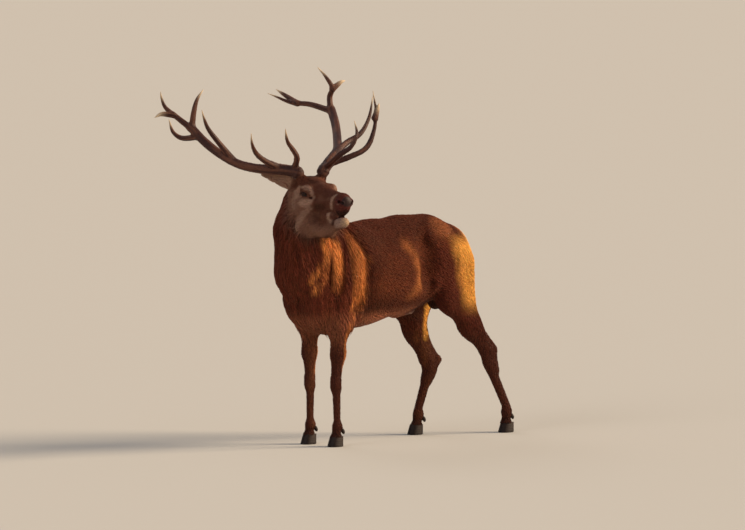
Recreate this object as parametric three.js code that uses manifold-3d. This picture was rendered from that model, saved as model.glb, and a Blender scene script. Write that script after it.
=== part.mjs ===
// A red deer stag at life size. It stands square on its forelegs with the left hind leg stretched back, and
// looks over its left shoulder with the muzzle raised and the mouth a little open.
//
// Millimetres. +Z is up, -Y is the way the trunk faces and +X is the stag's left. The body is one smooth
// distance field of rounded masses. Each limb is wrapped by rays cast from the axis that runs inside it, the
// wrapped shells are joined, and the whole is then carved into the parts that a person would name.
import * as THREE from "three";
import { mergeVertices } from "three/addons/utils/BufferGeometryUtils.js";
import Module from "manifold-3d";

const wasm = await Module();
wasm.setup();

// ---------------------------------------------------------------- driving sizes
const GAP = 0.3; // between neighbouring solids
const LEFT = 1; // sides, as the sign of x
const RIGHT = -1;
const HEAD_AT = [130, -638, 1302]; // midway between the eyes
const HEAD_TURN = THREE.MathUtils.degToRad(-11); // 0 would look along +X
const HEAD_PITCH = THREE.MathUtils.degToRad(6); // muzzle above level
const EYE_OUT = 79; // from the middle of the head to the centre of an eye
const EYE_RADIUS = 17;
const CORONET = 52; // height at which the hoof begins
const CLAW_LENGTH = 84;
const CLAW_WIDTH = 30;
const CLEFT = 2; // half of the gap between the claws
const BURR_RADIUS = 31;
const BODY_CELL = 58; // cube of the net over the body
const HEAD_CELL = 33; // cube of the net over the head
const LIMB_CUT = 600; // height at which the legs are parted from the body
const TAIL_CUT = 488; // how far back the tail is parted from the rump

const COAT = new THREE.MeshStandardMaterial({ color: 0x5a2d18, roughness: 0.9, metalness: 0 });
const MANE = new THREE.MeshStandardMaterial({ color: 0x3a1d12, roughness: 0.95, metalness: 0 });
const ANTLER = new THREE.MeshStandardMaterial({ color: 0x6b4a33, roughness: 0.6, metalness: 0 });
const HORN = new THREE.MeshStandardMaterial({ color: 0x1d1512, roughness: 0.45, metalness: 0 });
const EYE = new THREE.MeshStandardMaterial({ color: 0x120a06, roughness: 0.08, metalness: 0 });

const group = new THREE.Group();
const vec = (p) => new THREE.Vector3(...p);

// ---------------------------------------------------------------- distance fields
// A mass is a function from a point to its signed distance, with the blend width that joins it to the rest.
const dot = (a, b) => a[0] * b[0] + a[1] * b[1] + a[2] * b[2];
const sub = (a, b) => [a[0] - b[0], a[1] - b[1], a[2] - b[2]];
const lerp = (a, b, t) => a + (b - a) * t;

// An ellipsoid at a centre, with three radii, leaned about the x axis by some degrees.
function ball(centre, radii, blend = 30, lean = 0) {
  const c = Math.cos(THREE.MathUtils.degToRad(lean));
  const s = Math.sin(THREE.MathUtils.degToRad(lean));
  const distance = (p) => {
    const q = sub(p, centre);
    const turned = [q[0], c * q[1] + s * q[2], c * q[2] - s * q[1]];
    const near = Math.hypot(...turned.map((v, i) => v / radii[i]));
    const slope = Math.hypot(...turned.map((v, i) => v / radii[i] ** 2));
    return slope < 1e-9 ? -Math.min(...radii) : (near * (near - 1)) / slope;
  };
  return { distance, blend };
}

// A rod from a to b, whose radius runs from ra to rb. thin narrows it across x, as a leg or neck is narrower.
function rod(a, ra, b, rb, blend = 25, thin = 1) {
  const along = sub(b, a);
  const length2 = dot(along, along);
  const distance = (p) => {
    const q = sub(p, a);
    const t = Math.min(1, Math.max(0, dot(q, along) / length2));
    const off = q.map((v, i) => v - t * along[i]);
    return (Math.hypot(off[0] / thin, off[1], off[2]) - lerp(ra, rb, t)) * Math.min(1, thin);
  };
  return { distance, blend };
}

function smoothMin(a, b, blend) {
  const h = Math.max(blend - Math.abs(a - b), 0) / blend;
  return Math.min(a, b) - (h * h * blend) / 4;
}

// All masses in one field, each blended into those before it.
const field = (masses) => (p) =>
  masses.reduce((d, m) => smoothMin(d, m.distance(p), m.blend), 1e4);
const join = (blend, ...fields) => (p) => fields.map((f) => f(p)).reduce((a, b) => smoothMin(a, b, blend));
const pair = (make) => [make(LEFT), make(RIGHT)];

// ---------------------------------------------------------------- the head's own frame
// forward along the nose, left across it, up from it, with its origin between the eyes.
const HEAD_FORWARD = new THREE.Vector3(
  Math.cos(HEAD_TURN) * Math.cos(HEAD_PITCH),
  Math.sin(HEAD_TURN) * Math.cos(HEAD_PITCH),
  Math.sin(HEAD_PITCH),
);
const HEAD_LEFT = new THREE.Vector3(-Math.sin(HEAD_TURN), Math.cos(HEAD_TURN), 0);
const HEAD_UP = HEAD_FORWARD.clone().cross(HEAD_LEFT);
const HEAD_FRAME = new THREE.Matrix4().makeBasis(HEAD_FORWARD, HEAD_LEFT, HEAD_UP).setPosition(...HEAD_AT);
const fromHead = (p) => vec(p).applyMatrix4(HEAD_FRAME).toArray();
const HEAD_INVERSE = HEAD_FRAME.clone().invert();
const toHead = (p) => vec(p).applyMatrix4(HEAD_INVERSE).toArray();

// ---------------------------------------------------------------- masses of the body
const trunk = [
  ball([0, -190, 872], [200, 370, 248], 30), // rib cage
  ball([0, 20, 836], [188, 320, 180], 80), // belly
  rod([0, -400, 1040], 72, [0, -150, 1018], 86, 90), // withers
  rod([0, -150, 1018], 86, [0, 40, 1038], 93, 90), // back
  rod([0, 40, 1038], 93, [0, 200, 1040], 97, 90), // loins
  ball([0, 225, 970], [156, 225, 156], 80), // croup
  ball([0, 391, 952], [110, 95, 113], 70), // root of the tail
  ball([0, 372, 850], [95, 95, 130], 60), // between the thighs
  ball([0, -455, 735], [140, 190, 172], 90), // brisket
  ball([0, -262, 700], [105, 175, 105], 60), // breastbone
  ...pair((s) => ball([s * 66, -566, 745], [90, 118, 125], 60)), // breast
  ...pair((s) => ball([s * 122, -375, 925], [78, 175, 220], 60, 18)), // shoulder blade
  ...pair((s) => rod([s * 122, -500, 815], 82, [s * 112, -470, 655], 62, 60)), // upper arm
];
const sheath = [
  rod([0, 10, 652], 30, [0, 120, 660], 24, 35), // sheath under the belly
  ball([0, 300, 700], [44, 50, 52], 40), // scrotum
];
const neck = [
  rod([0, -440, 900], 205, [0, -540, 1020], 172, 60, 0.84), // root of the neck
  rod([0, -540, 1020], 174, [0, -592, 1130], 158, 60, 0.9), // middle
  rod([0, -592, 1130], 158, [-18, -602, 1240], 116, 60, 0.95), // top
  rod([0, -655, 900], 122, [-8, -680, 1100], 104, 70, 0.9), // mane in front
  rod([0, -560, 800], 130, [0, -655, 900], 122, 70, 0.9), // mane over the breast
];

// Masses of the head, in its own frame: forward, left, up.
const skull = [
  ball([-78, 0, 8], [118, 70, 74], 20), // brain case
  rod([-60, 0, 26], 54, [50, 0, -2], 46, 40), // forehead
  ...pair((s) => ball([12, s * 64, 12], [44, 38, 36], 30)), // eye sockets
  rod([50, 0, -10], 46, [238, 0, -38], 28, 40), // bridge of the nose
  ball([118, 0, -58], [118, 46, 40], 40), // upper jaw
  ball([240, 0, -56], [44, 40, 41], 30), // muzzle
  ball([220, 0, -88], [50, 36, 37], 20), // upper lip
  ...pair((s) => rod([-40, s * 46, -62], 50, [75, s * 28, -72], 30, 40)), // cheek
  ball([-90, 0, -100], [95, 66, 95], 60), // throat
  rod([-120, 0, -10], 78, [-130, 0, -110], 92, 60), // nape
  ...pair((s) => rod([-54, s * 44, 50], 30, [-62, s * 67, 94], 26, 25)), // pedicles
];
const jaw = [
  ...pair((s) => rod([-70, s * 36, -136], 60, [50, s * 18, -176], 42, 40)), // angle of the jaw
  rod([50, 0, -179], 44, [196, 0, -161], 28, 30), // body of the jaw
  ball([220, 0, -157], [43, 33, 30], 20), // chin
  ball([50, 0, -114], [78, 44, 36], 25), // corner of the mouth
];
const headField = (p) => field([...skull, ...jaw])(toHead(p));
const throatLink = rod(fromHead([-120, 0, -90]), 95, [0, -590, 1150], 128, 60);

// Joints of each leg, from the top down.
const LEGS = {
  foreleg_left: {
    side: LEFT,
    top: [112, -470, 700],
    forearm: [100, -474, 470],
    knee: [100, -487, 318],
    fetlock: [98, -479, 100],
    toe: [98, -492, 0],
  },
  foreleg_right: {
    side: RIGHT,
    top: [-112, -478, 700],
    forearm: [-102, -486, 470],
    knee: [-102, -482, 318],
    fetlock: [-100, -484, 100],
    toe: [-100, -496, 0],
  },
  hindleg_left: {
    side: LEFT,
    top: [112, 290, 905],
    stifle: [140, 268, 718],
    hock: [122, 554, 402],
    heel: [122, 588, 434],
    fetlock: [126, 684, 104],
    toe: [126, 680, 0],
  },
  hindleg_right: {
    side: RIGHT,
    top: [-112, 265, 905],
    stifle: [-138, 175, 700],
    hock: [-106, 346, 352],
    heel: [-106, 416, 378],
    fetlock: [-100, 272, 100],
    toe: [-100, 250, 0],
  },
};
const PASTERN_LEAN = 0.55; // how far along the way from fetlock to toe the hoof begins
const coronetOf = ({ fetlock, toe }) => [toe[0], lerp(fetlock[1], toe[1], PASTERN_LEAN), CORONET];

// A place above or below a joint, and a little behind it.
const raised = ([x, y, z], up, behind = 0) => [x, y + behind, z + up];

function forelegMasses({ side, top, forearm, knee, fetlock, toe }) {
  const elbow = [side * 114, knee[1] + 8, 640];
  const coronet = coronetOf({ fetlock, toe });
  return [
    rod(top, 74, elbow, 62, 30, 0.8),
    rod(elbow, 60, forearm, 38, 60, 0.8),
    rod(forearm, 38, raised(knee, 40), 29, 30, 0.86),
    ball(raised(knee, 0, -3), [27, 31, 42], 25),
    rod(raised(knee, -30, 2), 24, raised(fetlock, 30), 21, 25, 0.82), // cannon
    ball(raised(fetlock, 0, 4), [25, 28, 28], 20),
    rod(fetlock, 22, coronet, 25, 15), // pastern
    ball(raised(coronet, -4), [30, 32, 20], 15),
  ];
}

function hindlegMasses({ side, top, stifle, hock, heel, fetlock, toe }) {
  const buttock = [side * 90, 384, 880];
  const down = lerp(hock[1], fetlock[1], 0.25);
  const calf = stifle.map((v, i) => lerp(v, hock[i], 0.5) + [0, 6, 8][i]);
  const coronet = coronetOf({ fetlock, toe });
  return [
    rod(top, 120, stifle, 74, 40, 0.7), // thigh
    rod(buttock, 82, raised(calf, 20, 10), 42, 70, 0.8), // hamstring
    rod(stifle, 68, calf, 49, 50, 0.68),
    rod(calf, 49, raised(hock, 46, -20), 43, 50, 0.7), // second thigh
    rod(raised(calf, 0, 28), 20, heel, 15, 40), // tendon to the point of the hock
    rod(raised(hock, 22, 2), 39, raised(hock, -30, 12), 29, 30, 0.72), // hock
    rod(heel, 15, [hock[0], down + 14, hock[2] - 70], 24, 30),
    rod(raised(hock, -30, 4), 30, raised(fetlock, 30), 26, 30, 0.74), // cannon
    ball(raised(fetlock, 0, 2), [25, 30, 30], 20),
    rod(fetlock, 23, coronet, 25, 15), // pastern
    ball(raised(coronet, -4), [30, 32, 20], 15),
  ];
}

const masses = (leg) => (leg.knee ? forelegMasses(leg) : hindlegMasses(leg));
const legFields = Object.fromEntries(Object.entries(LEGS).map(([name, leg]) => [name, field(masses(leg))]));
const torso = field([...trunk, ...sheath, ...neck, throatLink]);
const bodyField = join(45, torso, headField, ...Object.values(legFields));

// ---------------------------------------------------------------- wrapping a field with rays
// Distance from inside the field to its surface along a ray, at most reach.
function castOut(distance, from, way, reach) {
  const at = (r) => distance([from.x + way.x * r, from.y + way.y * r, from.z + way.z * r]);
  let r = 1;
  for (let d = at(r); d < -0.05 && r < reach; d = at(r)) r += Math.max(-d * 0.8, 0.4);
  return Math.min(r, reach);
}

// A closed shell of rings round a curve. Its rays go no further than reach, and caps rounds off an end with
// that many rings that lean from sideways to straight ahead; an end with no caps is flat.
function wrap(distance, curve, { rings, sides, reach, caps = [0, 0] }) {
  const stations = [];
  const lean = (count, i) => (i / (count + 1)) * (Math.PI / 2);
  for (let i = caps[0]; i > 0; i--) stations.push([0, -lean(caps[0], i)]);
  for (let i = 0; i < rings; i++) stations.push([i / (rings - 1), 0]);
  for (let i = 1; i <= caps[1]; i++) stations.push([1, lean(caps[1], i)]);
  const points = [];
  const side = new THREE.Vector3(1, 0, 0);
  for (const [t, tilt] of stations) {
    const centre = curve.getPointAt(t);
    const ahead = curve.getTangentAt(t);
    const e1 = side.clone().addScaledVector(ahead, -side.dot(ahead)).normalize();
    const e2 = ahead.clone().cross(e1);
    for (let j = 0; j < sides; j++) {
      const turn = (j / sides) * 2 * Math.PI;
      const way = e1.clone().multiplyScalar(Math.cos(turn)).addScaledVector(e2, Math.sin(turn));
      way.multiplyScalar(Math.cos(tilt)).addScaledVector(ahead, Math.sin(tilt));
      points.push(centre.clone().addScaledVector(way, castOut(distance, centre, way, reach)));
    }
  }
  const pole = (t, sign, cap) => {
    const centre = curve.getPointAt(t);
    const way = curve.getTangentAt(t).multiplyScalar(sign);
    return cap ? centre.clone().addScaledVector(way, castOut(distance, centre, way, reach)) : centre;
  };
  return shell(points, sides, pole(0, -1, caps[0]), pole(1, 1, caps[1]));
}

// A solid from rings of points, closed by a fan to a pole at each end.
function shell(points, sides, first, last) {
  const rings = points.length / sides;
  const all = [...points, first, last];
  const index = [];
  for (let j = 0; j < sides; j++) {
    const k = (j + 1) % sides;
    index.push(points.length, k, j);
    for (let i = 0; i + 1 < rings; i++) {
      const a = i * sides;
      const b = a + sides;
      index.push(a + j, a + k, b + k, a + j, b + k, b + j);
    }
    const end = (rings - 1) * sides;
    index.push(points.length + 1, end + j, end + k);
  }
  const geometry = new THREE.BufferGeometry().setFromPoints(all);
  geometry.setIndex(index);
  return solid(geometry);
}

// ---------------------------------------------------------------- a net over a field
// Cubes of one size fill a box. Each cube that the surface crosses holds one point of the net, moved onto the
// surface, and each edge of the grid that the surface crosses is closed by the four cubes round it.
function net(distance, low, high, cell, frame = new THREE.Matrix4()) {
  const counts = low.map((v, i) => Math.ceil((high[i] - v) / cell));
  const corner = (ijk) => ijk.map((n, i) => low[i] + n * cell);
  const key = (ijk) => (ijk[0] * 1000 + ijk[1]) * 1000 + ijk[2];
  const values = new Map();
  const value = (ijk) => {
    const k = key(ijk);
    if (!values.has(k)) {
      const outside = ijk.some((n, i) => n <= 0 || n >= counts[i]);
      values.set(k, outside ? cell : distance(corner(ijk)));
    }
    return values.get(k);
  };
  const step = (ijk, axis, by = 1) => ijk.map((n, i) => (i === axis ? n + by : n));
  const points = [];
  const numbers = new Map();
  const pointOf = (ijk) => {
    const k = key(ijk);
    if (!numbers.has(k)) {
      numbers.set(k, points.length);
      points.push(ontoSurface(distance, crossing(ijk), cell));
    }
    return numbers.get(k);
  };
  // The mean of where the surface crosses the twelve edges of a cube.
  const crossing = (ijk) => {
    const found = [];
    for (let axis = 0; axis < 3; axis++) {
      const [u, v] = [(axis + 1) % 3, (axis + 2) % 3];
      for (const [du, dv] of [[0, 0], [1, 0], [0, 1], [1, 1]]) {
        const a = step(step(ijk, u, du), v, dv);
        const [da, db] = [value(a), value(step(a, axis))];
        if (da < 0 !== db < 0) found.push(corner(step(a, axis, da / (da - db))));
      }
    }
    return [0, 1, 2].map((i) => found.reduce((sum, p) => sum + p[i], 0) / found.length);
  };
  const index = [];
  for (let i = 0; i < counts[0]; i++)
    for (let j = 0; j < counts[1]; j++)
      for (let k = 0; k < counts[2]; k++)
        for (let axis = 0; axis < 3; axis++) {
          const here = [i, j, k];
          const [da, db] = [value(here), value(step(here, axis))];
          if (da < 0 === db < 0) continue;
          const [u, v] = [(axis + 1) % 3, (axis + 2) % 3];
          const round = [[0, 0], [-1, 0], [-1, -1], [0, -1]];
          const ring = round.map(([du, dv]) => pointOf(step(step(here, u, du), v, dv)));
          if (db < 0) ring.reverse();
          index.push(ring[0], ring[1], ring[2], ring[0], ring[2], ring[3]);
        }
  const geometry = new THREE.BufferGeometry().setFromPoints(points.map(vec));
  geometry.setIndex(index);
  return solid(geometry.applyMatrix4(frame));
}

// Moves a point along the slope of the field until it is on the surface, at most half a cell away.
function ontoSurface(distance, start, cell) {
  let p = start;
  for (let turn = 0; turn < 3; turn++) {
    const d = distance(p);
    const slope = [0, 1, 2].map((i) => distance(p.map((v, j) => v + (i === j ? 1 : 0))) - d);
    const size = Math.max(dot(slope, slope), 0.2);
    p = p.map((v, i) => v - (d * slope[i]) / size);
  }
  const far = Math.hypot(...sub(p, start));
  return far > cell / 2 ? start : p;
}

// ---------------------------------------------------------------- solids and meshes
function solid(geometry) {
  const bare = geometry.index ? geometry.toNonIndexed() : geometry.clone();
  bare.deleteAttribute("normal");
  bare.deleteAttribute("uv");
  const merged = mergeVertices(bare, 1e-3);
  const made = new wasm.Manifold(
    new wasm.Mesh({
      numProp: 3,
      vertProperties: merged.attributes.position.array,
      triVerts: new Uint32Array(merged.index.array),
    }),
  );
  return made.volume() < 0 ? flipped(merged) : made;
}

function flipped(geometry) {
  const index = geometry.index.array;
  for (let i = 0; i < index.length; i += 3) [index[i + 1], index[i + 2]] = [index[i + 2], index[i + 1]];
  return new wasm.Manifold(
    new wasm.Mesh({
      numProp: 3,
      vertProperties: geometry.attributes.position.array,
      triVerts: new Uint32Array(index),
    }),
  );
}

// Adds a solid to the group as a named mesh. Of loose crumbs left by a cut, only the largest piece is kept.
function place(name, whole, material) {
  const piece = whole.decompose().sort((a, b) => b.volume() - a.volume())[0];
  const mesh = piece.getMesh();
  const positions = new Float32Array(mesh.numVert * 3);
  for (let i = 0; i < mesh.numVert; i++) {
    positions.set(mesh.vertProperties.subarray(i * mesh.numProp, i * mesh.numProp + 3), i * 3);
  }
  const geometry = new THREE.BufferGeometry();
  geometry.setAttribute("position", new THREE.BufferAttribute(positions, 3));
  geometry.setIndex(new THREE.BufferAttribute(mesh.triVerts, 1));
  geometry.computeVertexNormals();
  const made = new THREE.Mesh(geometry, material);
  made.name = name;
  group.add(made);
}

// A block with its middle at a point of a frame, grown on every side by some millimetres.
function block(size, centre, frame = new THREE.Matrix4(), grow = 0) {
  const box = new THREE.BoxGeometry(...size.map((v) => v + 2 * grow));
  box.translate(...centre);
  return solid(box.applyMatrix4(frame));
}

const curveThrough = (points) => new THREE.CatmullRomCurve3(points.map(vec), false, "centripetal");

// ---------------------------------------------------------------- flesh
const BODY_BOX = [[-264, -840, 516], [264, 610, 1360]];
const HEAD_BOX = [[-270, -184, -330], [310, 190, 130]]; // in the head's frame
const wrapBody = () => net(bodyField, ...BODY_BOX, BODY_CELL);
const wrapHead = () => net((p) => bodyField(fromHead(p)), ...HEAD_BOX, HEAD_CELL, HEAD_FRAME);

function wrapLeg(name) {
  const leg = LEGS[name];
  const { top, knee, stifle, hock, fetlock } = leg;
  const joints = knee ? [knee] : [stifle, hock];
  const axis = curveThrough([top, ...joints, fetlock, coronetOf(leg)]);
  const size = knee ? { rings: 15, reach: 100 } : { rings: 19, reach: 150 };
  const shape = wrap(bodyField, axis, { sides: 8, ...size });
  return shape.subtract(block([400, 2000, 200], [0, 0, CORONET - 100]));
}

const EARS = {
  ear_left: { side: LEFT, tip: [-215, 168, 92] },
  ear_right: { side: RIGHT, tip: [-205, -205, 116] },
};

// A leaf, wide in its middle and pointed, hollow towards the front of the head.
function ear({ side, tip }) {
  const base = [-104, side * 52, 34];
  const middle = [-150, side * 128, 88];
  const axis = curveThrough([base, middle, tip].map(fromHead));
  const front = vec([0.8, side * 0.15, -0.5]).transformDirection(HEAD_FRAME);
  const sides = 8;
  const rings = 7;
  const points = [];
  for (let i = 0; i < rings; i++) {
    const t = i / rings;
    const centre = axis.getPointAt(t);
    const ahead = axis.getTangentAt(t);
    const across = front.clone().cross(ahead).normalize();
    const back = across.clone().cross(ahead).normalize();
    const width = 6 + 33 * Math.sin(Math.PI * Math.min(1, 0.2 + 0.8 * t)) ** 0.8;
    const thick = lerp(14, 3.5, Math.min(1, 1.5 * t));
    const hollow = 0.5 * width * Math.min(1, 2.5 * t);
    for (let j = 0; j < sides; j++) {
      const turn = (j / sides) * 2 * Math.PI;
      const u = Math.cos(turn);
      const off = hollow * (0.5 - u * u) + thick * Math.sin(turn);
      points.push(centre.clone().addScaledVector(across, width * u).addScaledVector(back, off));
    }
  }
  return shell(points, sides, axis.getPointAt(0), axis.getPointAt(1));
}

function tail() {
  const axis = curveThrough([[0, 440, 1000], [0, 486, 975], [0, 508, 920], [0, 510, 858]]);
  const dock = rod([0, 440, 1000], 34, [0, 488, 955], 30);
  const shape = field([dock, rod([0, 488, 955], 30, [0, 510, 872], 18, 30)]);
  return wrap(shape, axis, { rings: 6, sides: 8, caps: [1, 2], reach: 60 });
}

// ---------------------------------------------------------------- eyes
const eyeAt = (side) => fromHead([4, side * EYE_OUT, 2]);
function eyeBall(side, grow = 0) {
  const globe = new THREE.SphereGeometry(EYE_RADIUS + grow, 10, 6);
  return solid(globe.translate(...eyeAt(side)));
}
// The gap between the lids, a lens that points outwards and a little forward.
function lidOpening(side) {
  const lens = new THREE.SphereGeometry(1, 8, 6);
  lens.scale(19, 40, 12).translate(6, side * (EYE_OUT + 26), 1);
  return solid(lens.applyMatrix4(HEAD_FRAME));
}

// ---------------------------------------------------------------- hooves
// Two claws to a foot: round in front and outside, flat underneath and where they face each other.
function claw(toe, half) {
  const outer = [[0.55, 0.97], [0.88, 0.72], [1, 0.3], [0.96, -0.2], [0.85, -0.65], [0.4, -0.96]];
  const outline = [[0, 1], ...outer, [0, -1]];
  const rings = 3;
  const points = [];
  const back = (height) => toe[1] + 10 * height; // it leans back towards the fetlock
  for (let i = 0; i < rings; i++) {
    const height = i / (rings - 1);
    const wide = CLAW_WIDTH * (1 - 0.14 * height);
    const long = (CLAW_LENGTH / 2) * (1 - 0.2 * height);
    for (const [u, v] of outline) {
      const out = half * (CLEFT + u * wide);
      points.push(vec([toe[0] + out, back(height) - v * long, height * (CORONET - GAP)]));
    }
  }
  const middle = toe[0] + half * (CLEFT + 0.45 * CLAW_WIDTH);
  const sole = new THREE.Vector3(middle, toe[1], 0);
  const top = new THREE.Vector3(middle, back(1), CORONET - GAP);
  return shell(points, outline.length, sole, top);
}

// A dew claw hangs behind the fetlock.
function dewClaw(fetlock, half, grow = 0) {
  const cone = new THREE.SphereGeometry(1, 6, 4);
  cone.scale(8 + grow, 10 + grow, 17 + grow).rotateX(THREE.MathUtils.degToRad(28));
  return solid(cone.translate(fetlock[0] + half * 15, fetlock[1] + 27, fetlock[2] - 22));
}

// ---------------------------------------------------------------- antlers
// A tine or beam is a tapering rod of round section along a curve, in the head's frame. radii run from the
// root to the tip.
function horn(points, radii, { rings, sides = 6, grow = 0 }) {
  const axis = curveThrough(points.map(fromHead));
  const frames = axis.computeFrenetFrames(rings, false);
  const ring = [];
  for (let i = 0; i <= rings; i++) {
    const t = i / rings;
    const at = t * (radii.length - 1);
    const k = Math.min(Math.floor(at), radii.length - 2);
    const radius = lerp(radii[k], radii[k + 1], at - k) + grow;
    for (let j = 0; j < sides; j++) {
      const turn = (j / sides) * 2 * Math.PI;
      const point = axis.getPointAt(t).addScaledVector(frames.normals[i], radius * Math.cos(turn));
      ring.push(point.addScaledVector(frames.binormals[i], radius * Math.sin(turn)));
    }
  }
  return shell(ring, sides, axis.getPointAt(0), axis.getPointAt(1));
}

const ANTLERS = {
  right: {
    burr: [[-62, -70, 103], [-72, -86, 119]],
    beam: [
      [-66, -78, 116], [-108, -128, 130], [-180, -215, 140], [-255, -300, 170], [-345, -360, 230],
      [-430, -400, 300], [-510, -425, 375],
    ],
    tines: {
      brow: [[-78, -88, 126], [-25, -100, 190], [-15, -125, 225], [0, -165, 270], [50, -205, 335]],
      bez: [[-120, -140, 142], [-120, -215, 170], [-100, -290, 215], [-50, -345, 265], [-5, -375, 320]],
      trez: [[-285, -325, 200], [-315, -385, 290], [-315, -440, 360], [-285, -480, 415], [-260, -505, 455]],
      crown_inner: [[-505, -422, 370], [-500, -410, 445], [-500, -385, 515], [-500, -345, 565]],
      crown_outer: [
        [-505, -424, 368], [-565, -470, 430], [-610, -510, 485], [-610, -530, 535],
        [-590, -545, 565],
      ],
      crown_side: [[-575, -490, 445], [-590, -550, 450], [-595, -585, 435]],
      crown_back: [[-455, -412, 325], [-560, -455, 325], [-595, -480, 355], [-640, -475, 425]],
    },
  },
  left: {
    burr: [[-52, 66, 102], [-56, 74, 122]],
    beam: [
      [-55, 70, 115], [-68, 122, 163], [-130, 206, 213], [-230, 272, 258], [-320, 327, 308],
      [-395, 367, 363], [-485, 404, 435],
    ],
    tines: {
      brow: [[-45, 80, 130], [65, 110, 195], [100, 145, 225], [110, 180, 285], [55, 205, 360]],
      bez: [[-65, 100, 145], [-15, 210, 180], [0, 300, 220], [0, 350, 300], [0, 370, 400], [-25, 375, 510]],
      bez_side: [[0, 362, 370], [5, 390, 445]],
      trez: [[-120, 190, 205], [-170, 300, 260], [-175, 375, 295], [-200, 450, 375], [-245, 510, 490]],
      crown_inner: [
        [-480, 398, 430], [-500, 408, 500], [-475, 410, 545], [-485, 385, 600], [-500, 345, 655],
      ],
      crown_outer: [[-470, 410, 540], [-470, 440, 560], [-470, 465, 575], [-475, 490, 580]],
      crown_back: [
        [-475, 396, 428], [-600, 345, 470], [-690, 290, 485], [-760, 245, 520], [-800, 220, 540],
      ],
      crown_fork: [[-660, 308, 480], [-720, 305, 505], [-830, 290, 560]],
    },
  },
};
const BEAM_RADII = [30, 27, 24, 23, 23, 22, 23];
const TINE_RADII = [17, 15.5, 13, 8.5, 2];

// The parts of one antler, each cut clear of those before it.
function antler(side, { burr, beam, tines }) {
  const parts = {};
  let taken = horn(burr, [BURR_RADIUS, BURR_RADIUS], { rings: 1, sides: 12, grow: GAP });
  parts.burr = horn(burr, [BURR_RADIUS, BURR_RADIUS], { rings: 1, sides: 12 });
  const add = (name, points, radii, rings) => {
    parts[name] = horn(points, radii, { rings }).subtract(taken);
    taken = taken.add(horn(points, radii, { rings, grow: GAP }));
  };
  add("beam", beam, BEAM_RADII, 11);
  for (const [name, points] of Object.entries(tines)) add(name, points, TINE_RADII, 2 * points.length - 3);
  return { parts, taken };
}

// ---------------------------------------------------------------- parting the flesh
// The thigh is parted from the trunk along the fold of the flank, which rises towards the rump.
const thighRegion = (side, grow) =>
  slab([0, 70, 650], [0, 0.77, -0.64], 900, 1400, grow).intersect(
    block([240, 900, 900], [side * 134, 450, 600], undefined, grow),
  );

// A block that begins at a point and runs along a direction, its near face moved back by grow.
function slab(point, way, depth, width, grow = 0) {
  const ahead = vec(way).normalize();
  const turn = new THREE.Quaternion().setFromUnitVectors(new THREE.Vector3(0, 0, 1), ahead);
  const wide = width + 2 * grow;
  const box = new THREE.BoxGeometry(wide, wide, depth + grow).translate(0, 0, (depth - grow) / 2);
  return solid(box.applyQuaternion(turn).translate(...point));
}

const NECK_PLANE = { at: [0, -500, 1020], way: [0, -0.7, 0.714] };
const HEAD_PLANE = {
  at: fromHead([-104, 0, -80]),
  way: vec([0.85, 0, 0.53]).transformDirection(HEAD_FRAME).toArray(),
};

const earRegion = ({ side, tip }, grow) => {
  const root = [-122, side * 86, 50];
  const way = vec(sub(tip, root)).transformDirection(HEAD_FRAME).toArray();
  return slab(fromHead(root), way, 200, 110, grow);
};
const headRegion = (grow) =>
  slab(HEAD_PLANE.at, HEAD_PLANE.way, 700, 800, grow).intersect(
    block([700, 440, 460], [50, 0, -14], HEAD_FRAME, grow),
  );
const jawRegion = (grow) => block([320, 160, 150], [184, 0, -190], HEAD_FRAME, grow);
const neckRegion = (grow) => slab(NECK_PLANE.at, NECK_PLANE.way, 900, 1200, grow);
const tailRegion = (grow) => block([120, 200, 300], [0, TAIL_CUT + 100, 885], undefined, grow);
const legRegion = ({ side, knee }, top, grow) => {
  const middle = knee ? -480 : 450;
  const long = knee ? 260 : 700;
  return block([240, long, top], [side * (knee ? 172 : 130), middle, top / 2], undefined, grow);
};

// ---------------------------------------------------------------- the stag
function placeFlesh(cut) {
  const body = wrapBody();
  let head = cut(wrapHead().add(ear(EARS.ear_left)).add(ear(EARS.ear_right)));
  head = head.intersect(headRegion(0));
  for (const [name, shape] of Object.entries(EARS)) {
    place(name, head.intersect(earRegion(shape, 0)), COAT);
    head = head.subtract(earRegion(shape, GAP));
  }
  place("lower_jaw", head.intersect(jawRegion(0)), COAT);
  place("head", head.subtract(jawRegion(GAP)), COAT);
  place("tail", tail().intersect(tailRegion(0)), COAT);

  let rest = body.subtract(headRegion(GAP)).subtract(tailRegion(GAP));
  for (const [name, leg] of Object.entries(LEGS)) {
    const upper = legRegion(leg, LIMB_CUT, 0);
    const lower = (grow) => legRegion(leg, (leg.knee || leg.hock)[2] - 8, grow);
    const shape = cut(wrapLeg(name)).intersect(upper);
    place(`${name}_upper`, shape.subtract(lower(GAP)), COAT);
    place(`${name}_lower`, shape.intersect(lower(0)), MANE);
    rest = rest.subtract(legRegion(leg, LIMB_CUT, GAP));
  }
  place("neck", rest.intersect(neckRegion(0)), MANE);
  rest = rest.subtract(neckRegion(GAP));
  for (const [name, side] of [["thigh_left", LEFT], ["thigh_right", RIGHT]]) {
    place(name, rest.intersect(thighRegion(side, 0)), COAT);
    rest = rest.subtract(thighRegion(side, GAP));
  }
  place("trunk", rest, COAT);
}

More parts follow.
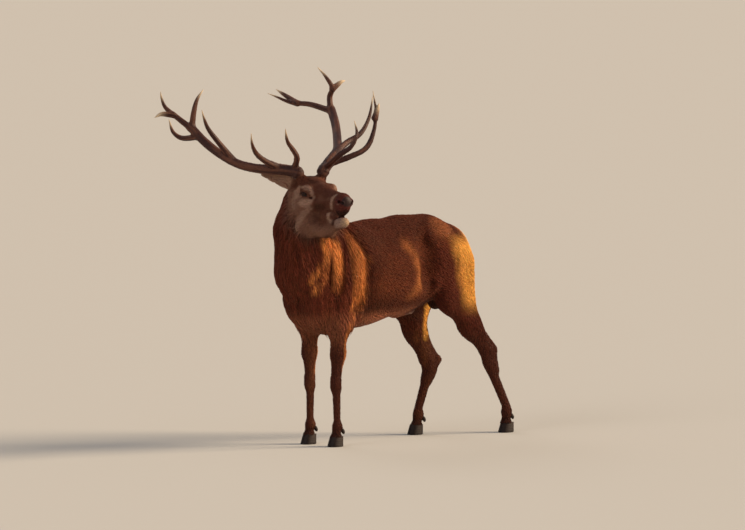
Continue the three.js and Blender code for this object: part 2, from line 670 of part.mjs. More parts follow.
// What the flesh makes room for.
const hollows = [];
for (const [sideName, shape] of Object.entries(ANTLERS)) {
  const { parts, taken } = antler(sideName, shape);
  hollows.push(taken);
  for (const [name, piece] of Object.entries(parts)) place(`antler_${sideName}_${name}`, piece, ANTLER);
}
for (const [name, side] of [["eye_left", LEFT], ["eye_right", RIGHT]]) {
  hollows.push(eyeBall(side, GAP), lidOpening(side));
  place(name, eyeBall(side), EYE);
}
for (const [name, { fetlock, toe }] of Object.entries(LEGS)) {
  for (const [word, half] of [["inner", -Math.sign(toe[0])], ["outer", Math.sign(toe[0])]]) {
    hollows.push(dewClaw(fetlock, half, GAP));
    place(`${name}_claw_${word}`, claw(toe, half), HORN);
    place(`${name}_dewclaw_${word}`, dewClaw(fetlock, half), HORN);
  }
}
placeFlesh((shape) => hollows.reduce((rest, hollow) => rest.subtract(hollow), shape));

// The origin is on the floor, under the middle of the whole.
const middle = new THREE.Box3().setFromObject(group).getCenter(new THREE.Vector3());
for (const mesh of group.children) mesh.geometry.translate(-middle.x, -middle.y, 0);

export default group;
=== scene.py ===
"""A red deer stag at life size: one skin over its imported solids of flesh, a coat of solid tufts that follows
the lie of the hair, and its eyes, antlers and hooves. The tables below are in millimetres, in the frame in
which the solids were drawn: +Z up, -Y the way the trunk faces, +X the stag's left."""
import math

import bmesh
import bpy
import numpy as np
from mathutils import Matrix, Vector


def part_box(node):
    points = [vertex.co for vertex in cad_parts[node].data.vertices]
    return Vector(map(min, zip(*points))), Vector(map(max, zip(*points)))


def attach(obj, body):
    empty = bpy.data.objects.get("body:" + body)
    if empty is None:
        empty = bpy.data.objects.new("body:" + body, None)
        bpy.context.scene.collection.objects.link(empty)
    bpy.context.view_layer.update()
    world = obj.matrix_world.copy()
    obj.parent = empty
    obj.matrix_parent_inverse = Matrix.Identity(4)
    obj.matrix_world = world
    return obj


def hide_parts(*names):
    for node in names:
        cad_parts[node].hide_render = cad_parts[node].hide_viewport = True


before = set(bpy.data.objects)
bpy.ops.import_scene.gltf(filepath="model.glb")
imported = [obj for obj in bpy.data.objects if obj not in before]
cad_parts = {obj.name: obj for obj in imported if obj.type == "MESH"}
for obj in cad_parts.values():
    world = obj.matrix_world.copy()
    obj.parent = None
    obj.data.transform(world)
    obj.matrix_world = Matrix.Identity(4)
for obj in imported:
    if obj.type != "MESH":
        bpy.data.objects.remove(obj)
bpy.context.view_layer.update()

MM = 0.001
LEFT, RIGHT = 1, -1
SIDES = (LEFT, RIGHT)
SEED = 7


# ---- numbers
def vec(values):
    return np.array(values, np.float32)


def norm(v):
    return np.sqrt(np.einsum("...i,...i->...", v, v))


def unit(v):
    return v / np.maximum(norm(v), 1e-9)[..., None]


def mix(a, b, t):
    return a + (b - a) * t


def rise(x, low, high):
    """0 up to low, 1 from high on, smooth between them."""
    t = np.clip((x - low) / (high - low), 0, 1)
    return t * t * (3 - 2 * t)


def fall(x, low, high):
    return 1 - rise(x, low, high)


def turns(count):
    """Angles spread evenly round a circle."""
    return np.linspace(0, 2 * math.pi, count, endpoint=False)


def pair(make):
    return [make(LEFT), make(RIGHT)]


def both(make):
    return [*make(LEFT), *make(RIGHT)]


def noise(p, size, seed=0):
    """Smooth noise from 0 to 1. size is how wide its lumps are, one number or one for each axis."""
    q = p / vec(size)
    cell = np.floor(q).astype(np.int64)
    f = vec(q - cell)
    f = f * f * (3 - 2 * f)
    total = np.zeros(len(p), np.float32)
    for corner in np.ndindex(2, 2, 2):
        i, j, k = (cell + corner).T
        n = (i * 73856093) ^ (j * 19349663) ^ (k * 83492791) ^ (seed * 2654435761)
        n = ((n ^ (n >> 13)) * 1274126177) & 0xFFFFFFFF
        value = vec((n ^ (n >> 15)) & 0xFFFF) / 65535
        total += value * np.prod(np.where(corner, f, 1 - f), axis=1)
    return total


# ---- the head's own frame: forward, left, up
HEAD_AT = np.array([130.0, -638.0, 1302.0])
HEAD_TURN = math.radians(-11)
HEAD_PITCH = math.radians(6)
EYE = (4, 79, 2)
EYE_RADIUS = 17.0
CORONET = 52  # height of the top of the hooves


def head_axes():
    ahead = np.array([math.cos(HEAD_TURN), math.sin(HEAD_TURN), 0])
    forward = ahead * math.cos(HEAD_PITCH) + [0, 0, math.sin(HEAD_PITCH)]
    left = np.array([-math.sin(HEAD_TURN), math.cos(HEAD_TURN), 0])
    return np.stack([forward, left, np.cross(forward, left)])


HEAD_AXES = head_axes()


def from_head(h):
    return np.asarray(h, float) @ HEAD_AXES + HEAD_AT


def to_head(p):
    return vec((p - HEAD_AT) @ HEAD_AXES.T)


def row_offset():
    """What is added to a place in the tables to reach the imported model's frame."""
    low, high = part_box("eye_left")
    return np.array((low + high) / 2) / MM - from_head(EYE)


OFFSET = row_offset()


def to_row(p):
    return (np.asarray(p, float) + OFFSET) * MM


# ---- distance fields
def smooth_min(a, b, blend):
    h = np.maximum(blend - np.abs(a - b), 0) / blend
    return np.minimum(a, b) - h * h * (blend / 4)


def ball(centre, radii, blend=30, lean=0):
    """An ellipsoid, leaned about the x axis by some degrees."""
    centre, radii = vec(centre), vec(radii)
    c, s = math.cos(math.radians(lean)), math.sin(math.radians(lean))

    def distance(p):
        q = p - centre
        if lean:
            q = np.stack([q[:, 0], c * q[:, 1] + s * q[:, 2], c * q[:, 2] - s * q[:, 1]], 1)
        near = norm(q / radii)
        return near * (near - 1) / np.maximum(norm(q / radii**2), 1e-6)

    return distance, blend


def rod(a, ra, b, rb, blend=25, thin=1):
    """A round cone from a to b. thin narrows it across x."""
    a, b = vec(a), vec(b)
    along = b - a
    length2 = float(along @ along)
    squeeze = vec([1 / thin, 1, 1])

    def distance(p):
        q = p - a
        t = np.clip(q @ along / length2, 0, 1)
        off = (q - t[:, None] * along) * squeeze
        return (norm(off) - (ra + (rb - ra) * t)) * min(1, thin)

    return distance, blend


def line(p, path, radius=0):
    """Distance to a line through the points of path."""
    return np.min([rod(a, radius, b, radius)[0](p) for a, b in zip(path, path[1:])], axis=0)


def groove(path, radius, blend):
    return lambda p: line(p, path, radius), blend


def blended(masses, p):
    d = np.full(len(p), 1e4, np.float32)
    for distance, blend in masses:
        d = smooth_min(d, distance(p), blend)
    return d


def shaped(d, p, forms):
    """Adds each form to the skin, or cuts it out of it where its blend is below zero."""
    for distance, blend in forms:
        way = math.copysign(1, blend)
        d = way * smooth_min(way * d, distance(p), abs(blend))
    return d


# ---- masses, as in the solids
TRUNK = [
    ball([0, -190, 872], [200, 370, 248], 30),
    ball([0, 20, 836], [188, 320, 180], 80),
    rod([0, -400, 1040], 72, [0, -150, 1018], 86, 90),
    rod([0, -150, 1018], 86, [0, 40, 1038], 93, 90),
    rod([0, 40, 1038], 93, [0, 200, 1040], 97, 90),
    ball([0, 225, 970], [156, 225, 156], 80),
    ball([0, 391, 952], [110, 95, 113], 70),
    ball([0, 372, 850], [95, 95, 130], 60),
    ball([0, -455, 735], [140, 190, 172], 90),
    ball([0, -262, 700], [105, 175, 105], 60),
    *pair(lambda s: ball([s * 66, -566, 745], [90, 118, 125], 60)),
    *pair(lambda s: ball([s * 122, -375, 925], [78, 175, 220], 60, 18)),
    *pair(lambda s: rod([s * 122, -500, 815], 82, [s * 112, -470, 655], 62, 60)),
    rod([0, 10, 652], 30, [0, 120, 660], 24, 35),
    ball([0, 300, 700], [44, 50, 52], 40),
    rod([0, -440, 900], 205, [0, -540, 1020], 172, 60, 0.84),
    rod([0, -540, 1020], 174, [0, -592, 1130], 158, 60, 0.9),
    rod([0, -592, 1130], 158, [-18, -602, 1240], 116, 60, 0.95),
    rod([0, -655, 900], 122, [-8, -680, 1100], 104, 70, 0.9),
    rod([0, -560, 800], 130, [0, -655, 900], 122, 70, 0.9),
    rod(from_head([-120, 0, -90]), 95, [0, -590, 1150], 128, 60),
]
SKULL = [
    ball([-78, 0, 8], [118, 70, 74], 20),
    rod([-60, 0, 26], 54, [50, 0, -2], 46, 40),
    *pair(lambda s: ball([12, s * 64, 12], [44, 38, 36], 30)),
    rod([50, 0, -10], 46, [238, 0, -38], 28, 40),
    ball([118, 0, -58], [118, 46, 40], 40),
    ball([240, 0, -56], [44, 40, 41], 30),
    ball([220, 0, -88], [50, 36, 37], 20),
    *pair(lambda s: rod([-40, s * 46, -62], 50, [75, s * 28, -72], 30, 40)),
    ball([-90, 0, -100], [95, 66, 95], 60),
    rod([-120, 0, -10], 78, [-130, 0, -110], 92, 60),
    *pair(lambda s: rod([-54, s * 44, 50], 30, [-62, s * 67, 94], 26, 25)),
    *pair(lambda s: rod([-70, s * 36, -136], 60, [50, s * 18, -176], 42, 40)),
    rod([50, 0, -179], 44, [196, 0, -161], 28, 30),
    ball([220, 0, -157], [43, 33, 30], 20),
    ball([50, 0, -114], [78, 44, 36], 25),
]
TAIL = [rod([0, 440, 1000], 34, [0, 488, 955], 30), rod([0, 488, 955], 30, [0, 510, 872], 18, 30)]

LEGS = {
    "foreleg_left": dict(
        side=LEFT, top=[112, -470, 700], forearm=[100, -474, 470], knee=[100, -487, 318],
        fetlock=[98, -479, 100], toe=[98, -492, 0],
    ),
    "foreleg_right": dict(
        side=RIGHT, top=[-112, -478, 700], forearm=[-102, -486, 470], knee=[-102, -482, 318],
        fetlock=[-100, -484, 100], toe=[-100, -496, 0],
    ),
    "hindleg_left": dict(
        side=LEFT, top=[112, 290, 905], stifle=[140, 268, 718], hock=[122, 554, 402],
        heel=[122, 588, 434], fetlock=[126, 684, 104], toe=[126, 680, 0],
    ),
    "hindleg_right": dict(
        side=RIGHT, top=[-112, 265, 905], stifle=[-138, 175, 700], hock=[-106, 346, 352],
        heel=[-106, 416, 378], fetlock=[-100, 272, 100], toe=[-100, 250, 0],
    ),
}


def places(leg, *names):
    return (np.array(leg[name], float) for name in names)


def pastern_masses(leg, radius):
    fetlock, toe = places(leg, "fetlock", "toe")
    coronet = np.array([toe[0], mix(fetlock[1], toe[1], 0.55), CORONET])
    return [rod(fetlock, radius, coronet, 25, 15), ball(coronet - [0, 0, 4], [30, 32, 20], 15)]


def foreleg_masses(leg):
    top, forearm, knee, fetlock = places(leg, "top", "forearm", "knee", "fetlock")
    elbow = [leg["side"] * 114, knee[1] + 8, 640]
    return [
        rod(top, 74, elbow, 62, 30, 0.8),
        rod(elbow, 60, forearm, 38, 60, 0.8),
        rod(forearm, 38, knee + [0, 0, 40], 29, 30, 0.86),
        ball(knee + [0, -3, 0], [27, 31, 42], 25),
        rod(knee + [0, 2, -30], 24, fetlock + [0, 0, 30], 21, 25, 0.82),
        ball(fetlock + [0, 4, 0], [25, 28, 28], 20),
        *pastern_masses(leg, 22),
    ]


def hindleg_masses(leg):
    top, stifle, hock, heel, fetlock = places(leg, "top", "stifle", "hock", "heel", "fetlock")
    buttock = [leg["side"] * 90, 384, 880]
    down = mix(hock[1], fetlock[1], 0.25)
    calf = mix(stifle, hock, 0.5) + [0, 6, 8]
    return [
        rod(top, 120, stifle, 74, 40, 0.7),
        rod(buttock, 82, calf + [0, 10, 20], 42, 70, 0.8),
        rod(stifle, 68, calf, 49, 50, 0.68),
        rod(calf, 49, hock + [0, -20, 46], 43, 50, 0.7),
        rod(calf + [0, 28, 0], 20, heel, 15, 40),
        rod(hock + [0, 2, 22], 39, hock + [0, 12, -30], 29, 30, 0.72),
        rod(heel, 15, [hock[0], down + 14, hock[2] - 70], 24, 30),
        rod(hock + [0, 4, -30], 30, fetlock + [0, 0, 30], 26, 30, 0.74),
        ball(fetlock + [0, 2, 0], [25, 30, 30], 20),
        *pastern_masses(leg, 23),
    ]


LEG_MASSES = [foreleg_masses(leg) if "knee" in leg else hindleg_masses(leg) for leg in LEGS.values()]


def outline(p):
    """Signed distance to the outline that the solids have, out to the tips of the coat."""
    d = smooth_min(blended(TRUNK, p), blended(SKULL, to_head(p)), 45)
    for masses in LEG_MASSES:
        d = smooth_min(d, blended(masses, p), 45)
    return smooth_min(d, blended(TAIL, p), 20)


# ---- where each kind of coat lies
def near_leg(p):
    """0 on the body, 1 on the lower legs."""
    return fall(p[:, 2], 470, 640)


def on_head(h):
    """0 on the neck, 1 on the face."""
    behind = h[:, 0] * 0.85 + h[:, 2] * 0.35
    wide = np.abs(h[:, 1]) + 0.8 * np.clip(-150 - h[:, 2], 0, 80)
    return rise(behind, -140, -80) * (rise(h[:, 2], -238, -214) * fall(wide, 128, 165))


def on_mane(p, h):
    """1 where the long mane grows: the neck, the throat and the breast down to the elbows."""
    edge = -362 - 80 * rise(p[:, 2], 1000, 1090)
    return fall(p[:, 1], edge - 34, edge + 24) * (1 - on_head(h)) * rise(p[:, 2], 610, 700)


def locks(p):
    """0 between the locks of the mane, 1 along the middle of each."""
    sway = 22 * noise(p, (150, 150, 130), 3)
    q = p + np.stack([sway, -sway, 0 * sway], 1)
    return np.clip(0.62 * noise(q, (17, 17, 190), 1) + 0.6 * noise(q, (52, 52, 300), 2) - 0.08, 0, 1)


BODY_DEPTH, MANE_DEPTH, SHORT_DEPTH = 7.0, 17.0, 3.2  # the last on the face and the lower legs
LOCK_DEPTH = 14  # between the locks of the mane and their middles


def coat_depth(p, h):
    """How far the skin lies inside the outline."""
    mane = on_mane(p, h)
    depth = mix(BODY_DEPTH, MANE_DEPTH, mane)
    long = np.nonzero(mane > 0.02)[0]
    depth[long] += mane[long] * LOCK_DEPTH * (0.5 - locks(p[long]))
    depth = mix(depth, SHORT_DEPTH, near_leg(p))
    return mix(depth, SHORT_DEPTH, on_head(h))


# ---- the larger muscles, the same on both sides
SHOULDER_EDGE = ([178, -418, 1060], [200, -358, 970], [206, -356, 820], [200, -338, 740], [176, -338, 675])
THROAT_EDGE = ([166, -488, 1052], [170, -492, 1005], [176, -500, 860], [178, -522, 800])
THROAT_FORK = ([131, -556, 940], [139, -564, 840], [134, -560, 790])
BODY_FORMS = [
    ball([216, 100, 888], [92, 88, 165], -26),  # the flank
    ball([160, 104, 1050], [42, 62, 100], -50),  # the loin
    ball([62, -85, 870], [125, 190, 168], 10),  # the ribs
    ball([112, 182, 1032], [36, 52, 44], 30),  # the hip
    groove(SHOULDER_EDGE, 20, -24),
    groove(THROAT_EDGE, 16, -26),
    groove(THROAT_FORK, 5, -30),
    rod([184, 284, 950], 9, [196, 268, 780], 9, -20),  # between the muscles of the thigh
    rod([150, 140, 800], 12, [150, 92, 700], 10, -24),  # before the stifle
]


def folded(p):
    return np.stack([np.abs(p[:, 0]), p[:, 1], p[:, 2]], 1)


# ---- fine forms of the face, in its own frame
LID_LENGTH = 21.0  # half of the opening of the lids
LID_HEIGHT = 7.5
LIDS_OUT = 2.6  # how far the lids stand off the eye
MUZZLE = (228, 0, -54)  # the middle of the muzzle
NOSTRIL_WAYS = ((0.90, 0.55, -0.14), (0.62, 0.80, 0.06), (0.28, 0.92, 0.34))  # from it to a nostril
TEAR_PIT = ((30, -9), (46, -18), (60, -30))  # how far forward and up its points are


def eye_axes(side):
    """Out of the eye, along the lids towards the nose, and across them upwards."""
    out = unit(np.array([0.34, side * 0.93, 0.13]))
    ahead = np.array([0.86, -side * 0.3, -0.34])
    ahead = unit(ahead - out * (ahead @ out))
    across = np.cross(out, ahead) * side
    return vec([out, ahead, across * np.sign(across[2])])


def eye_centre(side):
    return vec([EYE[0], side * EYE[1], EYE[2]])


def cast(origin, way):
    """Where a ray from inside the head leaves the skin, before the fine forms are made."""
    origin, way = np.array(origin, float), unit(np.array(way, float))
    near, far = 0.0, 150.0
    for _ in range(24):
        middle = (near + far) / 2
        h = vec((origin + way * middle)[None])
        p = vec(from_head(h))
        inside = (outline(p) + coat_depth(p, h))[0] < 0
        near, far = (middle, far) if inside else (near, middle)
    return origin + way * near


NOSTRILS = {s: [cast(MUZZLE, (x, s * y, z)) for x, y, z in NOSTRIL_WAYS] for s in SIDES}


def lid_opening(h, side):
    """An almond that runs outwards through the lids."""
    q = (h - eye_centre(side)) @ eye_axes(side).T
    radius = (LID_LENGTH**2 + LID_HEIGHT**2) / (2 * LID_HEIGHT)
    sink = radius - LID_HEIGHT
    upper = np.hypot(q[:, 1], q[:, 2] + sink + 1) - radius - 1.5
    lower = np.hypot(q[:, 1], q[:, 2] - sink + 1) - radius
    return np.maximum(np.maximum(upper, lower), -4 - q[:, 0])


def eye_forms(side):
    """The hollow round an eye, its brow, its lids and the tear pit before it."""
    centre = eye_centre(side)
    out, ahead, across = eye_axes(side)
    brow = centre + out * 4 + across * 23
    near, middle, far = [cast((x, 0, z), (0, side, 0)) for x, z in TEAR_PIT]
    return [
        ball(centre + out * 19 + across * 1, [34, 16, 22], -12),
        rod(brow - ahead * 26 - across * 9, 9, brow, 12, 16),
        rod(brow, 12, brow + ahead * 28 - across * 7 - out * 2, 7, 16),
        (lambda h: norm(h - centre) - (EYE_RADIUS + LIDS_OUT), 7),
        (lambda h: lid_opening(h, side), -1.5),
        rod(near, 2.2, middle, 4.2, -4),
        rod(middle, 4.2, far, 2.5, -4),
    ]


def nose_forms(side):
    """The wing of a nostril and the nostril."""
    low, middle, high = NOSTRILS[side]
    return [
        rod(low - [5, 0, 0], 12, middle - [7, 0, 0], 12, 10),
        rod(middle - [7, 0, 0], 10, high - [2, side * 4, 2], 5, 10),
        rod(low, 7.0, middle, 7.5, -4),
        rod(middle, 7.0, high, 2.0, -4),
    ]


def cheek_forms(side):
    """The ridge under the eye, the hollow of the cheek and the edges of the jaw."""
    return [
        rod([22, side * 66, -42], 9, [112, side * 44, -46], 5, 22),
        ball([112, side * 59, -84], [58, 10, 15], -26),
        rod([66, side * 66, -96], 7, [84, side * 52, -160], 6, -24),
        rod([-50, side * 118, -60], 8, [-66, side * 118, -170], 10, -26),
    ]


MOUTH_CORNER = 160.0
MOUTH_LENGTH = 85


def mouth_gap(h):
    """The wedge between the lips, from the corner of the mouth to the front."""
    along = np.clip((h[:, 0] - MOUTH_CORNER) / MOUTH_LENGTH, 0, 1)
    middle = mix(-149, -126, along**0.5)
    half = 1.0 + 4.5 * along**2
    lip = np.abs(h[:, 2] - middle) - half
    return np.maximum(lip, MOUTH_CORNER - 4 - h[:, 0])


def opened(d, h):
    """Cuts the mouth in between the lips, deeper towards the front."""
    depth = 3.5 + 13 * np.clip((h[:, 0] - MOUTH_CORNER) / MOUTH_LENGTH, 0, 1) ** 2
    return -smooth_min(-d, np.maximum(mouth_gap(h), -depth - d), 4)


EAR_TIPS = {LEFT: [-215, 168, 92], RIGHT: [-205, -205, 116]}
EAR_STEPS = 9


def ear_frame(side):
    """Points from the root of an ear to its tip on one smooth curve, and its ways along, across and back."""
    base, middle = np.array([-104, side * 52, 34.0]), np.array([-150, side * 128, 88.0])
    tip = np.array(EAR_TIPS[side], float)
    t = np.linspace(0, 1, EAR_STEPS)[:, None]
    bend = 2 * middle - (base + tip) / 2
    axis = (1 - t) ** 2 * base + 2 * t * (1 - t) * bend + t**2 * tip
    along = unit(axis[-1] - axis[0])
    across = unit(np.cross([0.8, side * 0.15, -0.5], along))
    return axis, along, across, unit(np.cross(across, along))


def ear_section(t, u):
    """Half of an ear's width at t along it, and how far it is cupped there at u across it."""
    wide = 5 + 31 * np.sin(np.pi * np.minimum(1, 0.2 + 0.8 * t)) ** 0.8
    return wide, 0.5 * wide * np.minimum(1, 2.5 * t) * (0.5 - np.clip(u / wide, -1, 1) ** 2)


def ear_shape(h, side):
    """A leaf, hollow towards the front, with a thicker root."""
    axis, along, across, back = ear_frame(side)
    best = np.full(len(h), 1e4, np.float32)
    t_best = np.zeros(len(h), np.float32)
    off_best = np.zeros((len(h), 3), np.float32)
    for i in range(EAR_STEPS - 1):
        a, step = axis[i], axis[i + 1] - axis[i]
        q = h - a
        t = np.clip(q @ step / (step @ step), 0, 1)
        off = q - t[:, None] * step
        far = norm(off)
        closer = far < best
        best = np.where(closer, far, best)
        t_best = np.where(closer, (i + t) / (EAR_STEPS - 1), t_best)
        off_best = np.where(closer[:, None], off, off_best)
    u, w = off_best @ across, off_best @ back
    wide, cup = ear_section(t_best, u)
    thick = mix(12.0, 5.8, np.minimum(1, 1.6 * t_best))
    past = np.where((t_best < 0.01) | (t_best > 0.99), np.abs(off_best @ along), -99)
    near = np.hypot(u / wide, (w - cup) / thick)
    slope = np.hypot(u / wide**2, (w - cup) / thick**2)
    return np.maximum(near * (near - 1) / np.maximum(slope, 1e-4), past)


def near_ears(h):
    return np.minimum(ear_shape(h, LEFT), ear_shape(h, RIGHT))


def on_ear(h):
    """1 on the ears, 0 on the head they grow from."""
    ear = np.zeros(len(h), np.float32)
    near = np.nonzero((h[:, 0] < -70) & (h[:, 0] > -260) & (h[:, 2] > 10) & (np.abs(h[:, 1]) > 40))[0]
    ear[near] = fall(near_ears(h[near]), 3, 12) * rise(np.abs(h[near, 1]), 66, 92)
    return ear


def ear_side(h, side):
    """1 on the hollow side of an ear."""
    axis, along, across, back = ear_frame(side)
    t = np.clip((h - axis[0]) @ along / norm(axis[-1] - axis[0]), 0, 1)
    spine = np.stack([np.interp(t, np.linspace(0, 1, EAR_STEPS), axis[:, i]) for i in range(3)], 1)
    q = h - spine
    cup = ear_section(t, q @ across)[1]
    return rise(cup - q @ back, 0, 2.5) * rise(t, 0.12, 0.25)


FACE_FORMS = [
    *both(cheek_forms),
    *both(lambda s: [*eye_forms(s), (lambda h: ear_shape(h, s), 10)]),
    *both(nose_forms),
    rod([290, 0, -55], 3.5, [279, 0, -98], 3.0, -7),  # the groove between the nostrils
    *both(lambda s: [rod([96, s * 18, -120], 24, [148, s * 11, -123], 20, 26)]),  # behind the lips
]
MOUTH_DIMPLES = both(lambda s: [ball([163, s * 30, -150], [8, 7, 8], -7)])


def skin(p):
    """Signed distance to the skin at places in the tables' frame."""
    h = to_head(p)
    d = outline(p) + coat_depth(p, h)
    body = np.nonzero((p[:, 2] > 600) & (np.abs(d) < 90) & (p[:, 1] > -640))[0]
    d[body] = np.maximum(shaped(d[body], folded(p[body]), BODY_FORMS), d[body])
    d = np.maximum(d, CORONET - 2 - p[:, 2])
    face = np.nonzero((h[:, 0] > -280) & (norm(h - [0, 0, -40]) < 420) & (d > -60))[0]
    if len(face):
        g = h[face]
        d[face] = shaped(opened(shaped(d[face], g, FACE_FORMS), g), g, MOUTH_DIMPLES)
    return d


def in_parts(function, p, size=200_000):
    return np.concatenate([function(p[i : i + size]) for i in range(0, len(p), size)])


def skin_slope(p):
    """The distance to the skin and the unit slope of that distance."""
    d = in_parts(skin, p)
    slope = np.stack([in_parts(skin, p + step) - d for step in vec(np.eye(3))], 1)
    return d, unit(slope)


# ---- a net over a field
BODY_CELL = 6.0
COARSE = 4  # cells of the coarse grid per cell of the fine one, along each axis
BODY_LOW, BODY_HIGH = [-276, -870, 40], [432, 742, 1456]


def sample(field, low, high, cell):
    """The field on a grid. Only what lies near the surface is worked out in full."""
    low = vec(low)
    blocks = np.ceil((np.array(high) - low) / (cell * COARSE)).astype(int)
    coarse_axes = [low[i] + cell * COARSE * (np.arange(blocks[i]) + 0.5) for i in range(3)]
    coarse_places = vec(np.stack(np.meshgrid(*coarse_axes, indexing="ij"), -1).reshape(-1, 3))
    values = in_parts(field, coarse_places).reshape(blocks)
    for axis in range(3):
        values = values.repeat(COARSE, axis)
    near = np.argwhere(np.abs(values) < cell * COARSE * 1.6)
    values[tuple(near.T)] = in_parts(field, vec(low + near * cell))
    for axis in range(3):
        edge = np.moveaxis(values, axis, 0)
        edge[0], edge[-1] = cell, cell
    return values, low


def net(values, low, cell):
    """One point in each cell that the surface crosses, and a quad round each crossed edge of the grid."""
    ways = np.eye(3, dtype=int)
    owners, crossings, quads = [], [], []
    for axis in range(3):
        moved = np.moveaxis(values, axis, 0)
        found = np.argwhere((moved[:-1] < 0) != (moved[1:] < 0))
        order = [0, 1, 2]
        order.insert(axis, order.pop(0))
        start = found[:, order]
        step, u, v = ways[axis], ways[(axis + 1) % 3], ways[(axis + 2) % 3]
        a, b = values[tuple(start.T)], values[tuple((start + step).T)]
        point = start + (a / (a - b))[:, None] * step
        cells = [np.ravel_multi_index((start - off).T, values.shape) for off in (0 * u, u, u + v, v)]
        ring = np.stack(cells, 1)
        ring[b < 0] = ring[b < 0][:, ::-1]
        quads.append(ring)
        owners.append(ring.ravel())
        crossings.append(point.repeat(4, 0))
    owners, crossings, quads = (np.concatenate(v) for v in (owners, crossings, quads))
    cells, index = np.unique(owners, return_inverse=True)
    count = np.bincount(index)
    points = np.stack([np.bincount(index, crossings[:, i]) / count for i in range(3)], 1)
    return vec(low + points * cell), np.searchsorted(cells, quads)


def onto(points, far=3.0, times=2):
    """Moves points onto the skin, by no more than far each time."""
    for _ in range(times):
        d, slope = skin_slope(points)
        points = points - slope * np.clip(d, -far, far)[:, None]
    return points


# ---- meshes
def new_mesh(name, points, faces):
    mesh = bpy.data.meshes.new(name)
    mesh.from_pydata(points, [], faces)
    return mesh


def put(items, field, values):
    items.foreach_set(field, vec(values).ravel())


def mesh_points(mesh):
    co = np.empty(len(mesh.vertices) * 3, np.float32)
    mesh.vertices.foreach_get("co", co)
    return co.reshape(-1, 3)


def add_colours(mesh, rgb):
    rgba = np.concatenate([rgb, np.ones((len(rgb), 1))], 1)
    put(mesh.color_attributes.new("Col", "FLOAT_COLOR", "POINT").data, "color", rgba)


def refine(mesh, wanted):
    """Splits each quad of the mesh whose corners are all wanted into four."""
    bm = bmesh.new()
    bm.from_mesh(mesh)
    keep = wanted(mesh_points(mesh))
    edges = [e for e in bm.edges if keep[e.verts[0].index] and keep[e.verts[1].index]]
    bmesh.ops.subdivide_edges(bm, edges=edges, cuts=1, use_grid_fill=True)
    bm.to_mesh(mesh)
    bm.free()


def on_face(p):
    h = to_head(p)
    return ((on_head(h) > 0.5) & (norm(h - [40, 0, -30]) < 345)) | (near_ears(h) < 14)


def on_fine_face(p):
    h = to_head(p)
    eyes = [norm(h - eye_centre(s)) < 40 for s in SIDES]
    return eyes[0] | eyes[1] | (h[:, 0] > 205)


def make_skin_mesh():
    values, low = sample(skin, BODY_LOW, BODY_HIGH, BODY_CELL)
    points, quads = net(values, low, BODY_CELL)
    mesh = new_mesh("skin", onto(points), quads.tolist())
    for region in ((on_face, on_fine_face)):
        refine(mesh, region)
        points = mesh_points(mesh)
        chosen = region(points)
        points[chosen] = onto(points[chosen])
        put(mesh.vertices, "co", points)
    mesh.update()
    return mesh


def shell_mesh(name, rings, rgb):
    """A closed mesh from rings with the same number of points each, with a point at either end."""
    rings = vec(rings)
    count, around = rings.shape[:2]
    points = np.concatenate([rings.reshape(-1, 3), rings[:1].mean(1), rings[-1:].mean(1)])
    j = np.arange(around)
    k = (j + 1) % around
    faces = [[a + j, a + k, a + around + k, a + around + j] for a in range(0, (count - 1) * around, around)]
    first, last, end = count * around, count * around + 1, (count - 1) * around
    faces += [[j * 0 + first, k, j], [j * 0 + last, end + j, end + k]]
    mesh = new_mesh(name, points.tolist(), [quad for ring in faces for quad in np.stack(ring, 1).tolist()])
    add_colours(mesh, np.concatenate([rgb, rgb[:1], rgb[-1:]]))
    return mesh


def joined(name, meshes):
    """One mesh from several, with their colours."""
    bm = bmesh.new()
    for mesh in meshes:
        bm.from_mesh(mesh)
        bpy.data.meshes.remove(mesh)
    bmesh.ops.recalc_face_normals(bm, faces=bm.faces)
    mesh = bpy.data.meshes.new(name)
    bm.to_mesh(mesh)
    bm.free()
    return mesh


def repeated_mesh(name, points, faces, patch, colour):
    """Repeats one small set of faces over many sets of points."""
    count, per = points.shape[:2]
    loops = np.concatenate([np.array(f) for f in faces])
    everywhere = (loops[None] + per * np.arange(count)[:, None]).ravel()
    starts = np.cumsum([0] + [len(f) for f in faces] * count)[:-1]
    mesh = bpy.data.meshes.new(name)
    mesh.vertices.add(count * per)
    put(mesh.vertices, "co", points)
    mesh.loops.add(len(everywhere))
    mesh.loops.foreach_set("vertex_index", everywhere.astype(np.int32))
    mesh.polygons.add(count * len(faces))
    mesh.polygons.foreach_set("loop_start", starts.astype(np.int32))
    put(mesh.uv_layers.new(name="OFBake").data, "uv", patch.reshape(-1, 2)[everywhere])
    add_colours(mesh, colour.reshape(-1, 3))
    mesh.update(calc_edges=True)
    return mesh


# ---- pieces and stage
def make_piece(name, mesh, material, replaced=()):
    """Puts a mesh of the tables' frame into the scene as a piece of the object."""
    put(mesh.vertices, "co", to_row(mesh_points(mesh)))
    mesh.polygons.foreach_set("use_smooth", np.ones(len(mesh.polygons), bool))
    mesh.materials.append(material)
    mesh.update()
    piece = add_object(name, mesh)
    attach(piece, "root")
    if replaced:
        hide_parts(*replaced)


def add_object(name, data):
    thing = bpy.data.objects.new(name, data)
    bpy.context.scene.collection.objects.link(thing)
    return thing


VIEW_AZIMUTH = math.radians(47)
VIEW_ELEVATION = math.radians(5.5)
VIEW_DISTANCE = 60.0
LENS = 565.4  # mm
SENSOR = 36  # mm wide
SIGHT = 400  # metres, as far as the camera sees
AIM = (-0.1038, 0.8923)  # metres right and up, from the middle of the feet to the middle of the view


